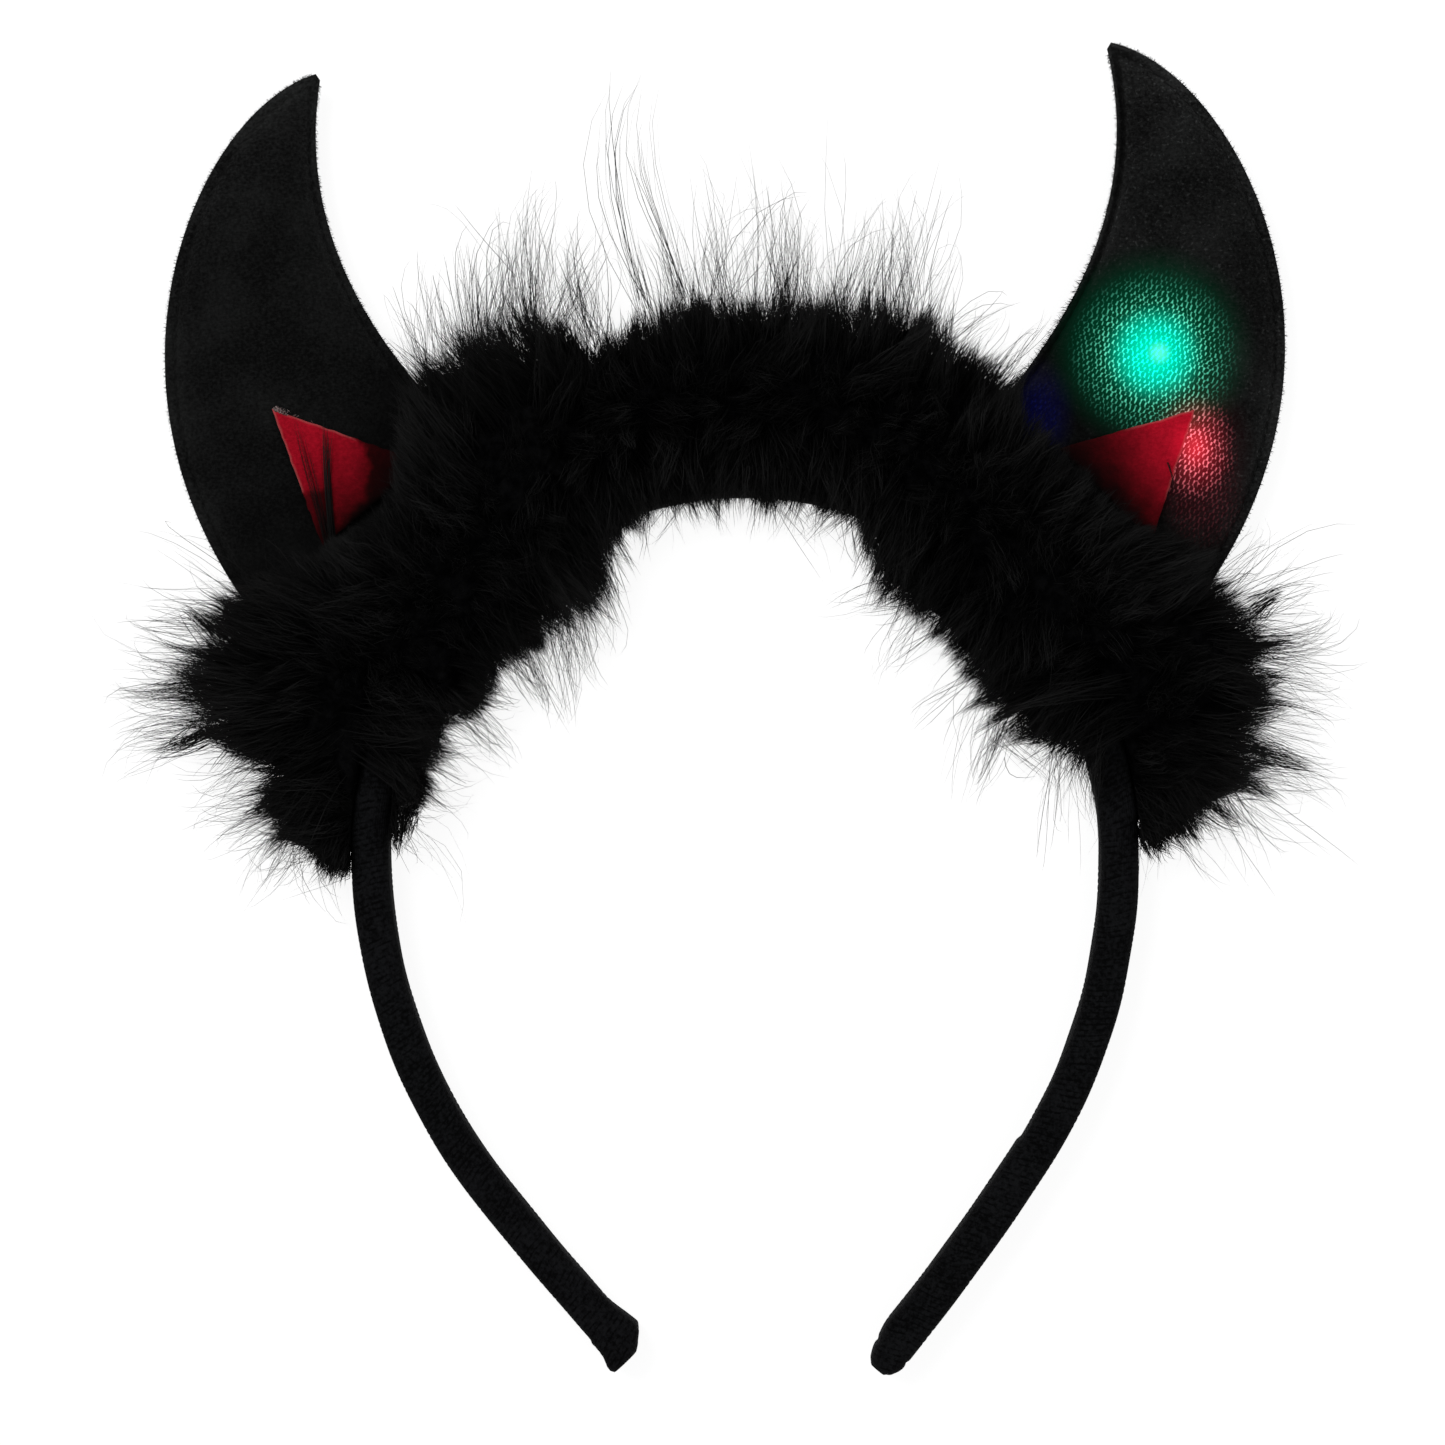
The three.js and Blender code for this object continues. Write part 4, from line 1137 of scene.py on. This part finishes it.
def core_piece(material):
    """The dark inside of the boa: the solid's form, softened, drawn in and roughened."""
    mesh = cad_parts["feather_boa"].data.copy()
    mesh.name = "boa_core"
    piece = added("boa_core", mesh)
    made, points, edges = remeshed(piece)
    above = smooth(points[:, 2], BAND_DEPTH + 1.5, BAND_DEPTH + 5)
    free = np.maximum(smooth(band_gap(points), 0.6, 5), above)
    points = relaxed(points, edges, CORE_SOFTEN * free, CORE_ROUNDS)
    set_points(made, points)
    made.update()
    normals = np.empty(len(points) * 3, np.float32)
    made.vertex_normals.foreach_get("vector", normals)
    rough = 0.8 * ripple(points, length=6, seed=61) + 0.4 * ripple(points, length=2.6, seed=62) - 2.0
    points = points + normals.reshape(-1, 3) * (rough * free)[:, None]
    radius = norm(points[:, :2])
    side = np.sign(radius - CROWN_RADIUS) * (BAND_HALF + 0.05)
    gap = band_gap(points)
    beside = (gap > -0.5) & (gap < 1.3) & (points[:, 2] < BAND_DEPTH)
    wanted = np.where(beside, CROWN_RADIUS + side, radius)
    turn = turn_of(points)
    most = rows_at(FLUFF_ROWS, turn, 2) - CORE_INSET + ripple(points, length=5, seed=63)
    most = np.maximum(most, CROWN_RADIUS + BAND_HALF + 1)
    least = np.minimum(rows_at(FLUFF_ROWS, turn, 1) + 3, BAND_INNER)
    free_side = (gap > 1.3) & (np.abs(turn) < 89)
    wanted = np.where(free_side, np.clip(wanted, least, most), wanted)
    past = smooth(turn, INNER_ENDS[1] - 5, INNER_ENDS[1] + 2)
    wanted = np.where(radius < BAND_INNER, wanted + (BAND_INNER - wanted) * past, wanted)
    points[:, :2] *= (wanted / radius)[:, None]
    points[:, 2] = np.maximum(points[:, 2], 0.2)
    set_points(made, points)
    made.polygons.foreach_set("use_smooth", np.ones(len(made.polygons), bool))
    made.materials.clear()
    made.materials.append(material)
    made.update()
    dress(piece, "boa_feather", "feather_boa")


def clump_guides(rng):
    """Curves of the boa's clumps, from roots near the band to tips at the edge of the fluff."""
    turn = rng.permutation(np.linspace(*OUTER_ENDS, CLUMPS)) + rng.normal(0, 0.5, CLUMPS)
    kind = rng.random(CLUMPS)
    lifts = [rng.uniform(*degrees, CLUMPS) for degrees in (INWARD_LIFT, OTHER_LIFT, OUTWARD_LIFT)]
    lift = np.where(kind < INWARD_BELOW, lifts[0], lifts[1])
    lift = np.where(kind > OUTWARD_ABOVE, lifts[2], lift)
    inside = (turn > INNER_ENDS[0]) & (turn < INNER_ENDS[1])
    lift = np.where((lift > 90) & ~inside, 180 - lift, lift)
    rise, out = np.maximum(np.sin(np.radians(lift)), 0), np.cos(np.radians(lift))
    inner, outer, height = (rows_at(BOA_ROWS, np.abs(turn), k) for k in (1, 2, 3))
    fluff_in, fluff_out = rows_at(FLUFF_ROWS, turn, 1), rows_at(FLUFF_ROWS, turn, 2)
    middle, half = (inner + outer) / 2, (outer - inner) / 2
    cover = cover_share(turn) * smooth(out, -0.1, 0.3)
    low = 0.6 + (COVER_LEVEL - 0.6) * cover
    root_radius = middle + 0.5 * half * out
    beside = CROWN_RADIUS + np.sign(out) * (BAND_HALF + rng.uniform(0.2, 2.5, CLUMPS))
    root_radius = root_radius + (beside - root_radius) * bare_band(turn * 1.05)
    root_level = low * 0.8 + 1.5 + 0.5 * height * rise
    reach = np.where(out > 0, fluff_out - middle, middle - fluff_in)
    lumps = ripple(np.stack([turn, lift * 0.1], -1), length=5, seed=72)
    tuft = 1 + 0.09 * lumps + rng.normal(0, 0.05, CLUMPS)
    tip_radius = middle + reach * np.sign(out) * np.abs(out) ** 0.75 * tuft
    aside = np.maximum(BAND_INNER - 0.5 - fluff_in, 0) * rng.uniform(0.3, 1.1, CLUMPS)
    inner_tip = BAND_INNER - 0.5 - aside
    inner_tip = tip_radius + (inner_tip - tip_radius) * smooth(np.abs(turn), 60, 70)
    tip_radius = np.where(out < 0, inner_tip, tip_radius)
    tip_level = low + 0.8 + (height + 6 - low) * rise ** 0.9
    root = polar(turn, root_radius, root_level)
    sway = ripple(np.stack([turn * 1.2, lift * 0.2], -1), length=15, seed=71)
    lean = 0.36 * sway + rng.normal(0, 0.13, CLUMPS)
    droop = np.sign(turn) * smooth(np.abs(turn), 45, 90) * np.where(out > 0, 0.45, 0.4)
    tip = polar(turn, tip_radius, tip_level)
    run = norm(tip - root)
    tip = tip + sideways(turn) * ((lean + droop) * run)[:, None]
    arch = np.array([0, 0, 1]) * (rng.uniform(0.06, 0.2, CLUMPS) * run)[:, None]
    bow = sideways(turn) * (rng.normal(0, 0.1, CLUMPS) * run)[:, None]
    first = root + (tip - root) * 0.33 + arch + bow
    second = root + (tip - root) * 0.7 + arch * 0.9 + bow * 0.6
    return turn, np.stack([root, first, second, tip], 1)


def fringe_guides(rng):
    """Curves of short clumps that curl over the inner edge of the band along the top of the crown."""
    count = FRINGE_CLUMPS
    turn = rng.permutation(np.linspace(-FRINGE_TO, FRINGE_TO, count)) + rng.normal(0, 0.4, count)
    edge = rows_at(FLUFF_ROWS, turn, 1) - rng.uniform(0, 1.6, count)
    high = rng.uniform(11.5, 14, count)
    root = polar(turn, CROWN_RADIUS + rng.uniform(1, 5, count), high - 1)
    first = polar(turn, CROWN_RADIUS, high + 1)
    second = polar(turn, edge + 1, high)
    tip = polar(turn + rng.normal(0, 1.2, count), edge, rng.uniform(4, 9, count))
    return turn, np.stack([root, first, second, tip], 1)


def nook_guides(rng):
    """Curves of clumps that fill the nook between the boa and the inner edge of the left horn."""
    count = NOOK_CLUMPS
    turn = rng.permutation(np.linspace(*NOOK_TURNS, count))
    high = rng.uniform(3, 9, count)
    root = polar(turn + 1, 86.0, high)
    first = polar(turn + 0.6, 91.0, high + 1)
    second = polar(turn, 96.0, high + 1)
    tip = polar(turn + rng.normal(-0.5, 0.8, count), rng.uniform(98, 103, count), high)
    return turn, np.stack([root, first, second, tip], 1)


def along_guides(guides, which, share):
    """Points of each strand's guide at shares of its length."""
    return bezier([guides[which, k][:, None, :] for k in range(4)], share)


def fluff_pieces(material):
    """Strands of down in clumps that gather towards their tips."""
    rng = np.random.default_rng(81)
    made = (clump_guides(rng), fringe_guides(rng), nook_guides(rng))
    turn, guides = (np.concatenate(part) for part in zip(*made))
    clumps = len(guides)
    which = np.repeat(np.arange(clumps), CLUMP_STRANDS)
    count = len(which)
    length = rng.uniform(0.55, 1.06, count) * np.where(rng.random(count) < 0.08, 1.18, 1)
    length = length * (1 + cover_share(turn)[which] * rng.uniform(-0.28, 0.16, count))
    start = rng.uniform(0, 0.3, count)
    step = np.linspace(0, 1, STRAND_STEPS)[None, :]
    share = start[:, None] + (length - start)[:, None] * step
    lines = along_guides(guides, which, share)
    ahead = unit(guides[which, 3] - guides[which, 0])
    across = unit(np.cross(ahead, unit(rng.normal(size=(clumps, 3)))[which]))
    other = np.cross(ahead, across)
    angle = rng.uniform(0, 2 * np.pi, count)
    apart = np.sqrt(rng.random(count))
    spread = np.where(which < CLUMPS, CLUMP_SPREAD, SHORT_SPREAD) * apart
    gather = rng.uniform(0.4, 0.97, clumps)[which]
    stand = np.minimum(rng.exponential(STAND_OUT, clumps), STAND_MOST) * (1 - 0.8 * cover_share(turn))
    stand = stand[which] * (which < CLUMPS) * (1 - apart) * rng.uniform(0.3, 1, count)
    wide = spread[:, None] * (1 - gather[:, None] * share ** 0.8)
    wide = wide + rng.normal(0, 0.6, count)[:, None] * step ** 2
    twist = angle[:, None] + rng.normal(0, 0.5, count)[:, None] * step
    curl = rng.uniform(0.1, 0.7, count)[:, None] * step
    beat = rng.uniform(0.7, 1.5, count)[:, None] * 2 * np.pi * step
    beat = beat + rng.uniform(0, 2 * np.pi, count)[:, None]
    lines = lines + across[:, None] * (wide * np.cos(twist) + curl * np.sin(beat))[..., None]
    lines = lines + other[:, None] * (wide * np.sin(twist) + curl * np.cos(beat))[..., None]
    lines = keep_clear(beside_bare_band(within_sides(to_edge(lines, stand, rng)), rng.random(count)))
    width = tapered(rng, DOWN_WIDTHS, DOWN_TAPER, count)
    tone = rng.uniform(0.1, 0.6, clumps) + 0.25 * ripple(guides[:, 3], length=11, seed=83)
    tone = tone[which] + rng.normal(0, 0.18, count)
    facing = unit(rng.normal(size=(count, 3)))
    order = np.argsort(turn[which], kind="stable")
    for number, part in enumerate(np.array_split(order, FLUFF_PIECES)):
        strands = (lines[part], width[part], facing[part], tone[part])
        strand_piece(f"boa_down_{number + 1}", *strands, material, "boa_feather", "feather_boa")


def wisp_guides(rng):
    """Curves of loose tufts that stand out past the dense fluff."""
    count = WISP_TUFTS
    outer = rng.random(count) < 0.62
    turn = np.where(outer, rng.uniform(*OUTER_ENDS, count), rng.uniform(*INNER_ENDS, count))
    near_in, near_out, far_out = (rows_at(FLUFF_ROWS, turn, k) for k in (1, 2, 3))
    reach = 0.05 + rng.random(count) ** 1.3
    inner_reach = np.where(np.abs(turn) < 17, 3.5 + 5 * reach, 12 * reach)
    root_radius = np.where(outer, near_out - 11, near_in + 6)
    tip_radius = np.where(outer, near_out - 2 + (far_out - near_out + 2) * reach, near_in - inner_reach)
    cover = cover_share(turn) * outer
    root = polar(turn, root_radius, 4 + cover * 9 + rng.uniform(0, 5, count))
    tip = polar(turn, tip_radius, 2 + cover * 11 + rng.uniform(0, 8, count))
    run = norm(tip - root)
    droop = np.sign(turn) * smooth(np.abs(turn), 50, 90) * np.where(outer, 0.5, 0.4)
    tip = tip + sideways(turn) * ((rng.normal(0, 0.42, count) + droop) * run)[:, None]
    bow = sideways(turn) * (rng.normal(0, 0.24, count) * run)[:, None]
    return np.stack([root, root + (tip - root) * 0.35 + bow, root + (tip - root) * 0.7 + bow, tip], 1)


def wisp_lines(rng, guides, hairs, spread, gather_range, shortest, loose):
    """Hairs along guides, so many on each and most of them short, which gather towards their tips."""
    which = np.repeat(np.arange(len(guides)), hairs)
    count = len(which)
    step = np.linspace(0, 1, WISP_STEPS)[None, :]
    share = step * (shortest + (1.06 - shortest) * rng.random(count) ** 1.5)[:, None]
    lines = along_guides(guides, which, share)
    run = norm(guides[which, 3] - guides[which, 0])[:, None]
    apart = rng.normal(0, spread, (count, 3)) * (1, 1, 0.7)
    gather = rng.uniform(*gather_range, len(guides))[which][:, None]
    lines = lines + apart[:, None] * (1 - gather * share ** 0.9)[..., None]
    drift = rng.normal(0, 0.1 * loose, (count, 3)) * run * (1, 1, 0.5)
    bend = rng.normal(0, 0.08 * loose, (count, 3)) * run * (1, 1, 0.4)
    lines = lines + drift[:, None] * (step ** 2)[..., None]
    return lines + bend[:, None] * np.sin(np.pi * step)[..., None]


def raised(plan, level):
    """Curves from plan points and heights that broadcast to them."""
    return np.concatenate([plan, np.broadcast_to(level, (*plan.shape[:2], 1))], -1)


def tuft_guides(rng):
    """Curves of the named tufts, through their three points."""
    root, middle, tip = (TUFTS[:, k:k + 2] for k in (0, 2, 4))
    root = root - TUFT_ROOT * unit(middle - root)
    pull = (4 * middle - root - tip) / 2
    plan = np.stack([root, (root + 2 * pull) / 3, (tip + 2 * pull) / 3, tip], 1)
    level = rng.uniform(3, 11, (len(TUFTS), 1, 1)) + np.array([0.0, 0.5, 0.5, -0.5])[None, :, None]
    return raised(plan, level)


def spike_guides(rng):
    """Curves of dense pointed tufts: the named ones, and those side by side at the boa's left end."""
    turn = np.linspace(*SPIKE_TURNS, SPIKE_ROW) + rng.normal(0, 0.3, SPIKE_ROW)
    edge = rows_at(FLUFF_ROWS, turn, 2) + rng.uniform(-1, 3.5, SPIKE_ROW)
    level = np.zeros(SPIKE_ROW)
    root = polar(turn, SPIKE_ROOT, level)
    tip = polar(turn + rng.normal(0, 1, SPIKE_ROW), edge, level)
    ends = np.concatenate([np.array(SPIKES, float), np.stack([root, tip], 1)[..., :2]])
    share = np.array([0, 0.35, 0.7, 1])[None, :, None]
    plan = ends[:, :1] + (ends[:, 1:] - ends[:, :1]) * share
    plan[:, 1:3] += rng.normal(0, 0.5, (len(ends), 1, 2))
    level = rng.uniform(3, 10, (len(ends), 1, 1)) + np.array([0, 0.8, 0.8, 0])[None, :, None]
    return raised(plan, level)


def wisp_piece(material):
    """Long hairs: loose ones, the named tufts, the tall plume, those over the patches and dense points."""
    rng = np.random.default_rng(91)
    plumes = raised(np.array(PLUMES), np.array(PLUME_LEVELS)[None, :, None])
    strays = raised(np.array(STRAYS), STRAY_LEVEL)
    tufts = tuft_guides(rng)
    hairs = TUFTS[:, 6].astype(int) * HAIRS_EACH
    # Hairs of each group: guides, hairs on each, spread, gathering, shortest share and looseness. Then the
    # share of a loose hair's width
    groups = [
        (wisp_lines(rng, wisp_guides(rng), TUFT_HAIRS, 1.4, (0.2, 0.95), 0.4, 1), 1.0),
        (wisp_lines(rng, tufts, hairs, 1.5, (0.3, 0.95), 0.38, 0.9), 1.25),
        (wisp_lines(rng, plumes, PLUME_HAIRS, 1.0, (0.2, 0.7), 0.7, 0.4), 1.6),
        (wisp_lines(rng, strays, STRAY_HAIRS, 0.35, (-0.2, 0.4), 0.88, 0.1), 2.0),
        (wisp_lines(rng, spike_guides(rng), SPIKE_HAIRS, 1.3, (0.7, 0.97), 0.6, 0.5), 2.2),
    ]
    lines = np.concatenate([part for part, _ in groups])
    weight = np.concatenate([np.full(len(part), share) for part, share in groups])
    count = len(lines)
    lines = keep_clear(beside_bare_band(within_sides(lines), rng.random(count)))
    width = (rng.uniform(*WISP_WIDTHS, count) * weight)[:, None] * np.array(WISP_TAPER)
    strands = (lines, width, unit(rng.normal(size=(count, 3))), rng.uniform(0.3, 1, count))
    strand_piece("boa_wisps", *strands, material, "boa_feather", "feather_boa")


# Stage


def add_camera():
    """Straight above, as in the photo, a little turned because the headband lies a little turned there."""
    data = bpy.data.cameras.new("camera")
    data.sensor_width = SENSOR
    data.lens = LENS
    camera = added("camera", data)
    camera.location = CAMERA_AT
    camera.rotation_euler = (0, 0, math.radians(CAMERA_TURN))
    bpy.context.scene.camera = camera


def add_light(name, spot, size, power):
    """A round light that faces the middle of the part."""
    data = bpy.data.lights.new(name, "AREA")
    data.shape = "DISK"
    data.size = size
    data.energy = power
    light = added(name, data)
    light.location = spot
    x, y, z = spot
    light.rotation_euler = (0, math.atan2(math.hypot(x, y), z), math.atan2(y, x))


def add_stage():
    nodes = Nodes("floor", roughness=0.9, specular=0.1)
    nodes.set("Base Color", nodes.mix(nodes.noise(40), *FLOOR_COLOURS))
    nodes.light((1.0, 1.0, 1.0), FLOOR_GLOW)
    mesh = bpy.data.meshes.new("floor")
    corners = [(x * FLOOR_HALF, y * FLOOR_HALF, FLOOR_LEVEL) for x, y in ((-1, -1), (1, -1), (1, 1), (-1, 1))]
    mesh.from_pydata(corners, [], [(0, 1, 2, 3)])
    mesh.materials.append(nodes.material)
    added("floor", mesh)
    world = bpy.data.worlds.new("studio")
    world.use_nodes = True
    background = next(node for node in world.node_tree.nodes if node.type == "BACKGROUND")
    background.inputs["Color"].default_value = (1, 1, 1, 1)
    background.inputs["Strength"].default_value = WORLD_STRENGTH
    bpy.context.scene.world = world
    for light in LIGHTS:
        add_light(*light)
    bpy.context.scene.view_settings.view_transform = "Standard"


add_camera()
add_stage()
band_piece(band_material())
dark_nap = fluff_material("felt_nap", NAP_COLOURS, roughness=0.9)
for word, direction, lit in (("left", -1, False), ("right", 1, True)):
    felt = horn_material(f"{word}_horn_felt", lit)
    horn_front = horn_piece(f"{word}_horn_felt", direction, felt)
    nap_piece(f"{word}_horn_nap", horn_front, lit, dark_nap, seed=32 + direction)
for patch_name in PATCHES:
    patch_piece(patch_name, patch_material(patch_name, patch_name == "right_patch"))
fray_piece(fluff_material("patch_thread", FRAY_COLOURS, roughness=0.9))
core_piece(core_material())
fluff_pieces(fluff_material("down", DOWN_COLOURS, roughness=0.7))
wisp_piece(fluff_material("down_wisps", WISP_COLOURS, roughness=0.7))
for lamp_name, (_, lamp_colour) in LAMPS.items():
    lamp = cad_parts[lamp_name]
    lamp.data.materials.clear()
    lamp.data.materials.append(lamp_material(lamp_name, lamp_colour))
